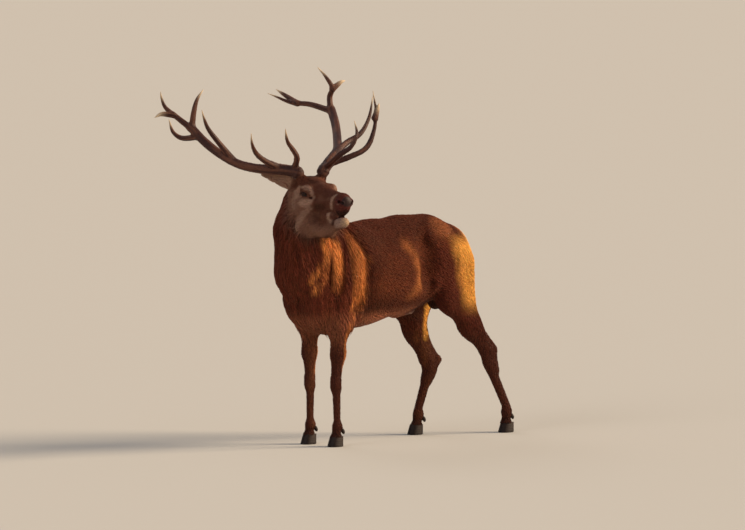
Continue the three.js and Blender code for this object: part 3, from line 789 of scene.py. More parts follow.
def add_camera():
    level = math.cos(VIEW_ELEVATION)
    back = Vector((math.sin(VIEW_AZIMUTH) * level, -math.cos(VIEW_AZIMUTH) * level, math.sin(VIEW_ELEVATION)))
    right = Vector((math.cos(VIEW_AZIMUTH), math.sin(VIEW_AZIMUTH), 0))
    data = bpy.data.cameras.new("camera")
    data.sensor_width, data.lens, data.clip_end = SENSOR, LENS, SIGHT
    camera = add_object("camera", data)
    feet = Vector(to_row([0, 0, 0]))
    target = feet + right * AIM[0] + back.cross(right) * AIM[1]
    camera.location = feet + back * VIEW_DISTANCE
    camera.rotation_euler = (target - camera.location).to_track_quat("-Z", "Y").to_euler()
    bpy.context.scene.camera = camera


SUNS = {  # the way to each light, how strong it is and its colour
    "key": ((2.6, 3.8, 2.2), 5.4, (1.0, 0.80, 0.56)),
    "fill": ((0.6, -5.0, 2.8), 0.7, (1.0, 0.95, 0.90)),
    "side": ((-3.5, 0.5, 3.0), 0.3, (1.0, 0.93, 0.86)),
}
SOFTNESS = math.radians(28)  # how wide each light is
SKY = (0.92, 0.93, 1.0, 1)
SKY_STRENGTH = 0.29
FLOOR_HALF = 400  # metres
FLOOR = (0.52, 0.50, 0.47, 1)


def add_suns():
    for name, (towards, power, colour) in SUNS.items():
        data = bpy.data.lights.new(name, "SUN")
        data.angle, data.energy, data.color = SOFTNESS, power, colour
        add_object(name, data).rotation_euler = Vector(towards).to_track_quat("Z", "Y").to_euler()


def add_stage():
    corners = [(FLOOR_HALF * x, FLOOR_HALF * y, 0) for x, y in ((-1, -1), (1, -1), (1, 1), (-1, 1))]
    floor = new_mesh("floor", corners, [(0, 1, 2, 3)])
    floor.materials.append(new_material("floor", Base_Color=FLOOR, Roughness=0.9))
    add_object("floor", floor)
    world = bpy.data.worlds.new("studio")
    world.use_nodes = True
    background = world.node_tree.nodes["Background"]
    background.inputs["Color"].default_value = SKY
    background.inputs["Strength"].default_value = SKY_STRENGTH
    bpy.context.scene.world = world
    bpy.context.scene.view_settings.view_transform = "Standard"


# ---- markings, with painted sunlight and painted shade
BODY = (0.125, 0.026, 0.010)
BACK = (0.060, 0.010, 0.005)
BODY_DARK = (0.062, 0.010, 0.005)
# painted sunlight on the croup
CROUP_SUNLIT = (0.300, 0.095, 0.036)
BELLY = (0.280, 0.092, 0.048)
RUMP = (0.80, 0.44, 0.17)
# painted sunlight on the thighs
THIGH_SUNLIT = (0.88, 0.42, 0.085)
THIGH_DARK = (0.095, 0.016, 0.009)
GROIN = (0.030, 0.007, 0.005)
SHEATH = (0.60, 0.40, 0.33)
MANE_DARK = (0.075, 0.014, 0.008)
MANE_MIDDLE = (0.150, 0.030, 0.014)
# painted sunlight on the mane
MANE_SUNLIT = (0.85, 0.29, 0.075)
LEG = (0.085, 0.020, 0.012)
# paler hair of the legs, and painted sunlight along the forelegs
LEG_PALE_AND_SUNLIT = (0.60, 0.210, 0.065)
# painted sunlight on the ribs and the thigh
RIB_SUNLIT = (0.46, 0.150, 0.045)
FACE = (0.115, 0.034, 0.022)
FACE_GREY = (0.270, 0.135, 0.092)
FACE_DARK = (0.040, 0.010, 0.007)
FACE_LIGHT = (0.46, 0.275, 0.200)
BRIDGE = (0.110, 0.032, 0.020)
MUZZLE_HAIR = (0.115, 0.024, 0.019)
CHIN = (0.36, 0.225, 0.178)
# painted rim of light on the front of the chin
CHIN_RIM_LIGHT = (0.66, 0.44, 0.27)
NOSE_SKIN = (0.026, 0.010, 0.009)
LIP = (0.030, 0.008, 0.007)
GUM = (0.075, 0.010, 0.008)
NOSTRIL = (0.012, 0.006, 0.005)
# painted highlight on the lower rim of the nostril
NOSTRIL_RIM_HIGHLIGHT = (0.26, 0.130, 0.100)
EAR_INSIDE = (0.42, 0.24, 0.165)
EAR_BACK = (0.150, 0.055, 0.034)
EYE_RIM = (0.018, 0.008, 0.006)

# Lines of painted sunlight: at the edge of the last ribs, along the forearm and inside the right thigh.
CRESCENT = ([150, -60, 1010], [176, -8, 950], [190, 22, 880], [184, 0, 800], [166, -40, 742])
ARM_STRIPS = (
    ([169, -468, 702], [166, -466, 610], [142, -452, 530], [127, -451, 453], [116, -455, 400]),
    ([84, -430, 620], [82, -452, 470], [86, -462, 380]),
)
INNER_THIGH = ([-75, 304, 668], [-82, 296, 590], [-90, 300, 520])
SUNLIT_MANE = {  # painted sunlight on the mane: the points of each patch, its half width and how strong it is
    "throat": ([[154, -610, 1066], [147, -536, 1012], [152, -520, 940], [152, -534, 850]], 34, 0.95),
    "breast": ([[152, -615, 1062], [131, -586, 960], [117, -614, 885], [104, -656, 836]], 26, 0.85),
    "shoulder": ([[168, -430, 1050], [178, -410, 960], [186, -410, 860], [180, -420, 760]], 46, 0.42),
    "edge": ([[176, -380, 980], [188, -384, 860], [184, -376, 770], [168, -388, 715]], 26, 1.0),
    "arm": ([[170, -420, 740], [172, -452, 690], [166, -462, 620]], 20, 0.85),
}
STREAKS = {  # pale lines of the face: their points, their half width and how strong they are
    "jaw": ([[36, 72, -66], [0, 80, -92], [-22, 100, -128], [-40, 114, -168]], 13, 0.5),
    "muzzle": ([[214, 28, -14], [196, 38, -30], [183, 38, -69], [166, 31, -90], [146, 33, -110]], 8, 0.85),
    "lip": ([[146, 33, -110], [142, 33, -130], [156, 30, -146]], 10, 0.75),
    "brow": ([[-70, 80, 16], [-44, 76, 38], [20, 89, 38], [52, 66, 16], [60, 58, -22]], 9, 0.75),
    "temple": ([[-46, 84, 22], [-60, 98, -6], [-56, 104, -60]], 12, 0.4),
}
TEAR_LINE = ([14, 74, 2], [34, 66, -10], [48, 60, -30])


def layered(base, *layers):
    """The base with each layer, a colour or a way and how much of it, laid over it in turn."""
    result = np.asarray(base, np.float32)
    for layer, amount in layers:
        result = result + (vec(layer) - result) * np.clip(amount, 0, 1)[:, None]
    return result


def blob(h, centre, radii):
    """1 in the middle of an ellipsoid, 0 from its surface outwards."""
    return fall(norm((h - vec(centre)) / vec(radii)), 0.35, 1.0)


def body_colour(p):
    q = folded(p)
    x, y, z = q.T
    ragged = 60 * (noise(p, 60, 14) - 0.5)
    rib = line(q, CRESCENT) + 0.3 * ragged
    rear = rise(y + 0.5 * ragged - 0.22 * (880 - z), 240, 350) * fall(z, 985, 1060)
    lower = near_leg(p)
    return layered(
        BODY,
        (BODY_DARK, 0.75 * rise(noise(p, (120, 150, 80), 18), 0.35, 0.8)),
        (BODY_DARK, 0.7 * fall(y + ragged, -340, -250)),
        (BACK, 0.95 * rise(z + ragged, 985, 1080)),
        # painted sunlight on the edge of the last ribs
        (RIB_SUNLIT, (0.88 - 0.42 * rise(z, 880, 970)) * fall(rib, 2, 68)),
        # painted shade in the hollow before the hip
        (BODY_DARK, 0.6 * blob(q, (130, 116, 960), (90, 62, 230))),
        (THIGH_DARK, rise(y, 120, 180) * fall(z + ragged, 960, 1040)),
        # painted sunlight on the outside of the thigh
        (RIB_SUNLIT, 0.35 * blob(q, (180, 300, 860), (60, 60, 150))),
        # painted sunlight on the croup
        (CROUP_SUNLIT, 0.7 * blob(q, (95, 235, 1080), (105, 110, 90))),
        (BODY_DARK, fall(z, 700, 820) * fall(y, 100, 200)),
        (BELLY, fall(z + 0.3 * ragged, 650, 715) * fall(y, 0, 130)),
        (GROIN, blob(q, (0, 215, 650), (150, 150, 110))),
        # painted sunlight on the backs of the thighs
        (THIGH_SUNLIT, rear * rise(z, 620, 740)),
        # painted sunlight on the top of the rump
        (CROUP_SUNLIT, 0.8 * rise(y, 330, 420) * rise(z, 985, 1060)),
        (RUMP, rise(y, 385, 430) * fall(x, 84, 130) * rise(z, 700, 800)),
        (LEG, lower),
        # paler hair on the inner sides of the lower legs
        (LEG_PALE_AND_SUNLIT, 0.25 * lower * fall(x, 78, 104) * noise(p, (30, 30, 120), 13)),
        # painted sunlight along the forelegs
        *((LEG_PALE_AND_SUNLIT, 0.95 * fall(line(q, path), 7, 20)) for path in ARM_STRIPS),
        # painted sunlight inside the right thigh
        (THIGH_SUNLIT, fall(line(p, INNER_THIGH) + 0.2 * ragged, 10, 34)),
        (SHEATH, 0.9 * blob(p, (0, 92, 634), (52, 62, 44))),
        (GROIN, blob(p, (0, 290, 680), (62, 66, 66))),
        (FACE_DARK, 0.8 * fall(z, 60, 130)),
    )


def mane_colour(p):
    strand = locks(p)
    fine = noise(p, (8, 8, 130), 15)
    q = folded(p)
    lit = np.zeros(len(p), np.float32)
    # painted sunlight on the lit patches of the mane, stronger along the middles of the locks
    for path, half, amount in SUNLIT_MANE.values():
        lit = np.maximum(lit, amount * fall(line(q, path) + 12 * (strand - 0.5), 0.5 * half, 1.25 * half))
    # painted shade in the furrows of the throat dims the painted sunlight there
    lit *= 1 - 0.55 * fall(line(q, THROAT_FORK, 4), 0, 22)
    lit *= 1 - 0.7 * fall(line(q, THROAT_EDGE, 4), 0, 24)
    lit *= 0.6 + 0.4 * rise(0.5 * strand + 0.5 * fine, 0.2, 0.7)
    middle = 0.8 * rise(strand + 0.35 * (fine - 0.5), 0.25, 0.8)
    return layered(MANE_DARK, (MANE_MIDDLE, middle), (MANE_SUNLIT, lit))


def face_colour(h):
    q = np.stack([h[:, 0], np.abs(h[:, 1]), h[:, 2]], 1)
    f, l, u = q.T
    ragged = 7 * (noise(h, 12, 23) - 0.5)
    streak = noise(h, (12, 22, 46), 22)
    patchy = 0.5 + 0.5 * streak
    rear = fall(f + 0.4 * u + 2 * ragged, -40, 20) * fall(u, 10, 50)
    forehead = rise(u, 30, 56) * fall(f, 10, 60)
    eye = norm((q - vec([-8, EYE[1], EYE[2] + 5])) / vec([40, 46, 15]))
    chin = rise(f + 3 * ragged, 168, 206) * fall(u, -136, -128)
    # painted shade under the jaw
    jaw_shade = -u - 180 - 0.28 * np.clip(190 - f, 0, 120)
    muzzle = rise(f - 0.30 * (u + 60) + ragged, 216, 228) * rise(u, -134, -124)
    return layered(
        FACE,
        (FACE_GREY, 0.9 * rear * (0.45 + 0.55 * streak)),
        (FACE_GREY, 0.45 * noise(h, (34, 26, 16), 21) ** 2),
        (FACE_GREY, 0.8 * rise(f, -20, 60) * fall(u, -190, -140)),
        (FACE_DARK, 0.75 * blob(q, (96, 54, -70), (66, 44, 32))),
        (FACE_DARK, 0.55 * blob(q, (52, 56, -122), (60, 40, 44)) * patchy),
        # painted shade under the back of the jaw
        (FACE_DARK, 0.6 * blob(q, (-50, 100, -214), (90, 70, 30))),
        (BRIDGE, fall(l, 22, 44) * rise(u, -44, -10) * rise(f, 60, 130)),
        (BRIDGE, 0.9 * forehead * patchy),
        (FACE_DARK, 0.6 * forehead * rise(noise(h, (40, 14, 20), 24), 0.45, 0.7)),
        *(
            (FACE_LIGHT, amount * fall(line(q, path) + ragged, half * 0.4, half * 1.9))
            for path, half, amount in STREAKS.values()
        ),
        (FACE_LIGHT, 0.95 * blob(q, (8, 84, -40), (62, 40, 32))),
        (FACE_LIGHT, 0.8 * blob(q, (44, 64, -34), (28, 40, 22))),
        (FACE_LIGHT, 0.5 * blob(q, (-46, 90, 0), (34, 40, 34))),
        # dark hair round the eye, with painted shade under the brow
        (FACE_DARK, 0.95 * fall(eye + 0.03 * ragged, 0.65, 1.0)),
        (FACE_DARK, fall(line(q, TEAR_LINE) + 0.4 * ragged, 4, 9)),
        (CHIN, chin * rise(u, -186, -174)),
        # painted rim of light on the front of the chin
        (CHIN_RIM_LIGHT, 0.9 * rise(f + ragged, 236, 262) * fall(u, -136, -128)),
        # painted shadow at the corner of the mouth
        (FACE_DARK, 0.9 * blob(q, (170, 28, -158), (13, 24, 15))),
        # painted shade under the jaw
        (FACE_DARK, 0.9 * rise(jaw_shade, 0, 14) * rise(f, -60, 0)),
        (MUZZLE_HAIR, muzzle),
        (BRIDGE, 0.6 * muzzle * rise(u, -34, -14)),
        (LIP, muzzle * fall(u + ragged, -106, -84)),
        # painted highlight on the lower rim of the nostril
        (NOSTRIL_RIM_HIGHLIGHT, 0.8 * blob(q, (250, 38, -62), (20, 18, 6))),
        (NOSE_SKIN, on_nose(h)),
    )


def on_nose(h):
    """1 on the bare skin of the nose, round and between the nostrils."""
    return rise(blob(h, (280, 0, -52), (30, 38, 32)), 0.02, 0.3)


def in_mouth(h):
    """1 inside the lips."""
    return fall(mouth_gap(h), -1.5, 1.0) * rise(h[:, 0], 170, 200)


NOSTRIL_HOLES = both(lambda s: [
    rod(NOSTRILS[s][0], 7.5, NOSTRILS[s][1], 8)[0],
    rod(NOSTRILS[s][1], 7.5, NOSTRILS[s][2], 2.5)[0],
])


def in_nostril(h):
    return fall(np.min([hole(h) for hole in NOSTRIL_HOLES], axis=0), -1.5, 1.5)


def near_eye(h, reach):
    """1 on the bare rim of the lids and inside them."""
    opening = np.min([lid_opening(h, s) for s in SIDES], axis=0)
    far = np.min([norm(h - eye_centre(s)) for s in SIDES], axis=0)
    return np.where(far < 34, fall(opening, reach * 0.5, reach), 0)


def coat_colour(p):
    """Colour of the hair or the bare skin at places in the tables' frame."""
    h = to_head(p)
    rgb = body_colour(p)
    rgb += (mane_colour(p) - rgb) * on_mane(p, h)[:, None]
    ragged = h + 24 * (noise(p, (22, 22, 50), 17)[:, None] - 0.5)
    head = on_head(ragged) * (norm(h - [40, 0, -30]) < 420)
    near = np.nonzero((head > 0) | (on_ear(h) > 0))[0]
    g = h[near]
    face = rgb[near] + (face_colour(g) - rgb[near]) * head[near, None]
    ears = {s: fall(ear_shape(g, s), 2, 9) for s in SIDES}
    rgb[near] = layered(
        face,
        *both(lambda s: [(EAR_BACK, ears[s]), (EAR_INSIDE, ears[s] * ear_side(g, s))]),
        (EYE_RIM, near_eye(g, 7.0)),
        (LIP, fall(mouth_gap(g), 0.5, 3.0)),
        (GUM, in_mouth(g)),
        (NOSTRIL, in_nostril(g)),
    )
    return np.clip(rgb, 0, 1)


def bareness(p):
    """1 on wet bare skin, 0 where hair grows."""
    h = to_head(p)
    close = np.nonzero(norm(h - [120, 0, -60]) < 240)[0]
    bare = np.zeros(len(p), np.float32)
    g = h[close]
    parts = [on_nose(g), in_mouth(g), in_nostril(g), near_eye(g, 5.0), fall(mouth_gap(g), 0.5, 2.5)]
    bare[close] = np.max(parts, axis=0)
    return bare


# ---- the lie of the hair
def flow(p):
    """Which way the hair lies, before it is laid along the skin."""
    h = to_head(p)
    y, z = p[:, 1], p[:, 2]
    mane = on_mane(p, h)
    way = layered(
        (0, 1, -0.38),
        ((0, 0.35, -1), fall(y, -330, -180) * fall(z, 880, 1010)),
        ((0, 0.45, -1), rise(y, 180, 330) * fall(z, 960, 1060)),
        ((0, 0.3, -1), rise(y, 400, 440)),
        ((0, 0.06, -1), fall(z, 560, 680)),
        ((0, 0.30, -1), mane),
        (-HEAD_AXES[0] - 0.35 * HEAD_AXES[2], on_head(h)),
        *((ear_frame(s)[1] @ HEAD_AXES, fall(ear_shape(h, s), 4, 14)) for s in SIDES),
    )
    sway = np.stack([noise(p, 90, 31 + i) - 0.5 for i in range(3)], 1)
    return unit(way + mix(0.35, 0.15, np.maximum(near_leg(p), mane))[:, None] * sway)


# What each kind of hair is: how many tufts, how long and wide they are, how far they stand from the skin at
# each ring after the root, how much their ways differ, and the slot of the record that they belong to.
KINDS = {
    "long": dict(count=29000, length=66, width=2.5, heights=(4.5, 6.5, 6.0), jitter=0.06, slot="mane"),
    "middle": dict(count=50000, length=25, width=2.2, heights=(2.2, 3.2), jitter=0.08, slot="coat"),
    "short": dict(count=44000, length=12, width=1.3, heights=(1.1, 1.7), jitter=0.12, slot="coat"),
}
SPLIT = 3  # meshes for each kind
PATCH = 0.0015  # half of a tuft's patch on the unwrap


def kind_weights(p):
    """How densely each kind of hair grows at a place."""
    h = to_head(p)
    ear = on_ear(h)
    mane, head = on_mane(p, h) * (1 - ear), np.maximum(on_head(h), ear)
    close = np.maximum(near_leg(p), head) * (1 - mane)
    grown = fall(bareness(p), 0.05, 0.3)
    face = 1 + 1.6 * head
    return {"long": mane * grown, "middle": (1 - mane) * (1 - close) * grown, "short": close * face * grown}


class Skin:
    """The triangles of the skin's mesh, with their place on its unwrap."""

    def __init__(self, mesh):
        mesh.calc_loop_triangles()
        corners, loops = np.empty((2, len(mesh.loop_triangles) * 3), np.int32)
        mesh.loop_triangles.foreach_get("vertices", corners)
        mesh.loop_triangles.foreach_get("loops", loops)
        uv = np.empty(len(mesh.loops) * 2, np.float32)
        mesh.uv_layers["OFBake"].data.foreach_get("uv", uv)
        self.corners = mesh_points(mesh)[corners.reshape(-1, 3)]
        self.uv = uv.reshape(-1, 2)[loops.reshape(-1, 3)]
        a, b, c = self.corners.transpose(1, 0, 2)
        self.area = norm(np.cross(b - a, c - a)) / 2
        self.middle = self.corners.mean(1)

    def scatter(self, weight, count, rng):
        """Roots spread over the skin as weight says, with their places on the unwrap."""
        chance = np.cumsum(self.area * weight)
        picked = np.searchsorted(chance, (np.arange(count) + rng.random(count)) / count * chance[-1])
        picked = np.minimum(picked, len(chance) - 1)
        a, b = vec(rng.random((2, count, 1)))
        over = (a + b) > 1
        a, b = np.where(over, 1 - a, a), np.where(over, 1 - b, b)

        def place(values):
            t = values[picked]
            return t[:, 0] + a * (t[:, 1] - t[:, 0]) + b * (t[:, 2] - t[:, 0])

        return place(self.corners), place(self.uv)


def hair_scale(p):
    """How long the hair is at a place, against the usual for its kind."""
    h = to_head(p)
    leg, ear = near_leg(p), on_ear(h)
    head = on_head(h) * (1 - ear)
    scale = np.ones(len(p), np.float32)
    belly = fall(p[:, 2], 640, 720) * (1 - leg) * (np.abs(p[:, 0]) < 110)
    scale += 0.7 * belly + 0.5 * rise(p[:, 1], 400, 450) * rise(p[:, 2], 760, 860)
    scale += 1.6 * blob(p, (0, 92, 634), (60, 70, 50))
    scale = mix(scale, 1.45, leg)
    scale = mix(scale, mix(1.25, 0.62, rise(h[:, 0], 60, 200)), head)
    scale = mix(scale, 1.1, ear)
    scale += 1.0 * head * fall(h[:, 0], -110, -40) * fall(h[:, 2], -40, 40)
    scale += 1.3 * head * blob(h, (-40, 0, 84), (70, 70, 46))
    return scale


def varied(rng, low, high, count):
    return vec(rng.uniform(low, high, count))


def lay(roots, kind, rng):
    """Walks each tuft over the skin. Gives its places, headings and outward directions, ring by ring."""
    size = hair_scale(roots) * varied(rng, 0.75, 1.2, len(roots))
    _, out = skin_slope(roots)
    turn = vec(rng.normal(0, kind["jitter"], (len(roots), 3)))
    heading = flow(roots) + turn
    steps = len(kind["heights"])
    lift = np.clip(size, 0.6, 1.5) * varied(rng, 0.55, 1.25, len(roots))
    here, rows = roots, []
    for height in (*kind["heights"], None):
        heading = unit(heading - out * np.einsum("ni,ni->n", heading, out)[:, None])
        rows.append((here, heading, out))
        if height:
            here = here + heading * (kind["length"] * size / steps)[:, None]
            d, out = skin_slope(here)
            here = here + out * (height * lift - d)[:, None]
            heading = heading + 0.5 * (flow(here) + turn)
    return rows


def tuft_mesh(name, rows, width, uv, shades):
    """One closed sliver for each root: rings of three corners, and a point at the tip."""
    count, rings = len(uv), len(rows) - 1
    per = 3 * rings + 1
    points, colour = np.empty((2, count, per, 3), np.float32)
    patch = np.empty((count, per, 2), np.float32)
    for k, (here, heading, out) in enumerate(rows):
        t = k / rings
        wide = (width * (0.75 + 0.9 * t - 1.25 * t * t))[:, None]
        across = np.cross(out, heading) * wide
        corners = [(here - across, -1), (here + across, 1), (here + out * (0.55 * wide), 0)]
        if k == 0:
            corners = [(c - out * (1.0 + 0.4 * wide), shift) for c, shift in corners]
        for j, (corner, shift) in enumerate([(here, 0)] if k == rings else corners):
            points[:, 3 * k + j] = corner
            patch[:, 3 * k + j] = uv + PATCH * vec([shift, 2 * t - 1])
            colour[:, 3 * k + j] = shades[k]
    sides = ((0, 1), (1, 2), (2, 0))
    tip, last = per - 1, per - 4
    faces = [(2, 1, 0)]
    for a in range(0, last, 3):
        faces += [(a + i, a + j, a + j + 3, a + i + 3) for i, j in sides]
    faces += [(last + i, last + j, tip) for i, j in sides]
    return repeated_mesh(name, points, faces, patch, colour)


def grow_coat(skin, name, rng):
    """The tufts of one kind, in joined meshes from the front of the body to the back."""
    kind = KINDS[name]
    weight = in_parts(lambda p: kind_weights(p)[name], skin.middle)
    count = kind["count"] // 1
    roots, uv = skin.scatter(weight, count, rng)
    rows = lay(roots, kind, rng)
    colour = in_parts(coat_colour, roots)
    tips = in_parts(coat_colour, rows[-1][0]) if name == "long" else colour
    shade = np.exp(rng.normal(0, 0.12, (count, 1))) * np.exp(rng.normal(0, 0.04, (count, 3)))
    shades = [
        np.clip(mix(colour, tips, t) * shade * mix(0.7, 1.2, t), 0, 1) for t in np.linspace(0, 1, len(rows))
    ]
    width = kind["width"] * hair_scale(roots) ** 0.5 * varied(rng, 0.7, 1.25, count)
    order = np.argsort(roots[:, 1], kind="stable")
    for i, chosen in enumerate(np.array_split(order, SPLIT)):
        part = [tuple(v[chosen] for v in row) for row in rows]
        title = f"coat_{name}_{i + 1}"
        mesh = tuft_mesh(title, part, width[chosen], uv[chosen], [s[chosen] for s in shades])
        make_piece(title, mesh, MATERIALS["hair"])


# ---- materials
def new_material(name, **values):
    material = bpy.data.materials.new(name)
    material.use_nodes = True
    for key, value in values.items():
        shader_of(material).inputs[key.replace("_", " ")].default_value = value
    return material


def shader_of(material):
    return material.node_tree.nodes["Principled BSDF"]


def add_node(tree, kind, values=(), **settings):
    """A node with its settings and the values of its inputs."""
    node = tree.nodes.new("ShaderNode" + kind)
    for key, value in settings.items():
        setattr(node, key, value)
    for key, value in dict(values).items():
        node.inputs[key].default_value = value
    return node


def noise_node(tree, scale, stretch, source):
    """Noise in the object's own space, or over a stored attribute."""
    if source == "Object":
        place = add_node(tree, "TexCoord").outputs["Object"]
    else:
        place = add_node(tree, "Attribute", attribute_name=source).outputs["Vector"]
    mapping = add_node(tree, "Mapping", {"Scale": stretch})
    tree.links.new(place, mapping.inputs["Vector"])
    node = add_node(tree, "TexNoise", {"Scale": scale, "Detail": 3.0})
    tree.links.new(mapping.outputs["Vector"], node.inputs["Vector"])
    return node.outputs["Fac"]


def ranged(tree, source, target, low, high, start=0, end=1):
    """Joins source to target, with start to end mapped on low to high."""
    values = {"From Min": start, "From Max": end, "To Min": low, "To Max": high}
    node = add_node(tree, "MapRange", values)
    tree.links.new(source, node.inputs["Value"])
    tree.links.new(node.outputs["Result"], target)


def shaded(material, scale, dark, light, stretch=(1, 1, 1), source="Object"):
    """Base colour from the stored colours, made darker and lighter by noise."""
    tree = material.node_tree
    scaled = add_node(tree, "VectorMath", operation="SCALE")
    ranged(tree, noise_node(tree, scale, stretch, source), scaled.inputs["Scale"], dark, light, 0.3, 0.7)
    stored = add_node(tree, "Attribute", attribute_name="Col")
    tree.links.new(stored.outputs["Color"], scaled.inputs[0])
    tree.links.new(scaled.outputs["Vector"], shader_of(material).inputs["Base Color"])
    return material


def bumped(material, scale, depth, stretch=(1, 1, 1), source="Object"):
    tree = material.node_tree
    bump = add_node(tree, "Bump", {"Distance": depth, "Strength": 1.0})
    tree.links.new(noise_node(tree, scale, stretch, source), bump.inputs["Height"])
    tree.links.new(bump.outputs["Normal"], shader_of(material).inputs["Normal"])
    return material


def make_hair():
    hair = new_material("hair", Roughness=0.6, Specular_IOR_Level=0.06, Sheen_Weight=0.07)
    shader_of(hair).inputs["Sheen Tint"].default_value = (1.0, 0.55, 0.25, 1)
    return shaded(hair, 220, 0.78, 1.22)


def make_bare_skin():
    """Rough where hair grows, and smoother on the nose, the lips and round the eyes."""
    material = shaded(new_material("skin", Specular_IOR_Level=0.18), 260, 0.75, 1.15)
    tree = material.node_tree
    bare = add_node(tree, "Attribute", attribute_name="bare").outputs["Fac"]
    ranged(tree, bare, shader_of(material).inputs["Roughness"], 0.8, 0.5)
    return bumped(material, 420, 0.0012)


def make_antler():
    antler = new_material("antler", Roughness=0.5, Specular_IOR_Level=0.25)
    shaded(antler, 9, 0.6, 1.35, (1, 1, 0.12), "grain")
    return bumped(antler, 16, 0.0016, (1, 1, 0.10), "grain")


def make_horn():
    horn = shaded(new_material("horn", Roughness=0.6, Specular_IOR_Level=0.22), 60, 0.6, 1.5, (1, 1, 4))
    return bumped(horn, 90, 0.0008, (1, 1, 5))


def make_eye():
    return shaded(new_material("eye", Roughness=0.16, Specular_IOR_Level=0.15), 900, 0.8, 1.2)


# ---- eyes
IRIS = 9.6  # radius of the coloured ring
PUPIL = (6.4, 2.7)  # half of the pupil's length and height
EYE_BROWN, IRIS_BROWN, PUPIL_BLACK = (0.010, 0.005, 0.004), (0.042, 0.014, 0.006), (0.004, 0.003, 0.004)


def eye_mesh(name, side):
    """A globe with a slight bulge over the iris, drawn round the axis that points out of the eye."""
    lean, turn = np.linspace(0.02, math.pi - 0.02, 44), turns(72)
    theta, phi = np.meshgrid(lean, turn, indexing="ij")
    radius = EYE_RADIUS + 0.9 * fall(theta, 0.25, 0.75)
    local = np.stack([np.cos(theta), np.sin(theta) * np.cos(phi), np.sin(theta) * np.sin(phi)], -1)
    flat = vec((local * radius[..., None]).reshape(-1, 3))
    out, ahead, across = flat.T
    far, around = np.hypot(ahead, across), np.arctan2(across, ahead)
    pupil = np.hypot(ahead / PUPIL[0], across / PUPIL[1])
    streak = noise(np.stack([np.cos(around) * 14, np.sin(around) * 14, far * 0.3], 1), 1.0, 51)
    iris = fall(far, IRIS - 1.2, IRIS + 0.4) * (out > 0)
    rgb = layered(
        EYE_BROWN,
        (IRIS_BROWN, iris * (0.35 + 0.65 * streak)),
        (PUPIL_BLACK, fall(pupil, 0.85, 1.05) * (out > 0)),
    )
    points = from_head(flat @ eye_axes(side) + eye_centre(side))
    return shell_mesh(name, points.reshape(*theta.shape, 3), rgb)


def make_eyes():
    for node, side in (("eye_left", LEFT), ("eye_right", RIGHT)):
        name = node + "_ball"
        make_piece(name, eye_mesh(name, side), MATERIALS["eye"], [node])


# ---- hooves
CLAW_LENGTH = 84
CLAW_WIDTH = 30
CLEFT = 2
CLAW_RIDGES, DEW_RIDGES = 34, 22  # radians of the waves down a wall
HORN_BROWN = (0.016, 0.008, 0.006)


def claw_mesh(toe, half):
    """Half of a hoof: round outside, flat underneath, with rings of growth round its wall."""
    outer = np.linspace(math.pi / 2, -math.pi / 2, 30)
    inner = np.linspace(-0.86, 0.86, 9)
    outline_u = np.concatenate([np.cos(outer) ** 0.7, 0.07 * (1 - inner**2)])
    outline_v = np.concatenate([np.sign(np.sin(outer)) * np.abs(np.sin(outer)) ** 0.86, inner])
    rings, shades = [], []
    for height in (0.0, 0.03, 0.07, *np.linspace(0.12, 1.0, 22)):
        wave = math.sin(height * CLAW_RIDGES)
        bevel = 1 - 0.06 * fall(height, 0.0, 0.07)
        ridge = 1 + 0.010 * wave * rise(height, 0.1, 0.2)
        wide = CLAW_WIDTH * (1 - 0.14 * height) * bevel * ridge
        long = CLAW_LENGTH / 2 * (1 - 0.2 * height) * bevel * ridge
        x = toe[0] + half * (CLEFT + outline_u * wide)
        y = toe[1] + 10 * height - outline_v * long
        rings.append(np.stack([x, y, np.full(len(x), height * (CORONET - 0.5))], 1))
        shades.append(np.full(len(x), 0.8 + 0.5 * height + 0.12 * wave))
    return shell_mesh("claw", rings, np.outer(shades, HORN_BROWN))


def dew_claw_mesh(fetlock, half):
    """A small blunt horn behind the fetlock, its point down."""
    slope = math.radians(28)
    down = np.array([0, math.sin(slope), -math.cos(slope)])
    behind = np.array([0, math.cos(slope), math.sin(slope)])
    middle = np.array([fetlock[0] + half * 15, fetlock[1] + 27, fetlock[2] - 22])
    turn = turns(20)
    rings, shades = [], []
    for t in np.linspace(-0.98, 0.98, 16):
        wave = math.sin(t * DEW_RIDGES)
        size = math.sqrt(1 - t * t) * (1 + 0.03 * wave)
        ring = middle + down * 17 * t + np.outer(np.cos(turn) * 8 * size, [1, 0, 0])
        rings.append(ring + np.outer(np.sin(turn) * 10 * size, behind))
        shades.append(np.full(len(turn), 0.9 + 0.1 * wave))
    return shell_mesh("dew_claw", rings, np.outer(shades, HORN_BROWN))


def make_hooves():
    for foot, leg in LEGS.items():
        meshes, nodes = [], []
        for word, half in (("inner", -leg["side"]), ("outer", leg["side"])):
            meshes += [claw_mesh(leg["toe"], half), dew_claw_mesh(leg["fetlock"], half)]
            nodes += [f"{foot}_claw_{word}", f"{foot}_dewclaw_{word}"]
        make_piece(f"{foot}_hoof", joined("hoof", meshes), MATERIALS["horn"], nodes)


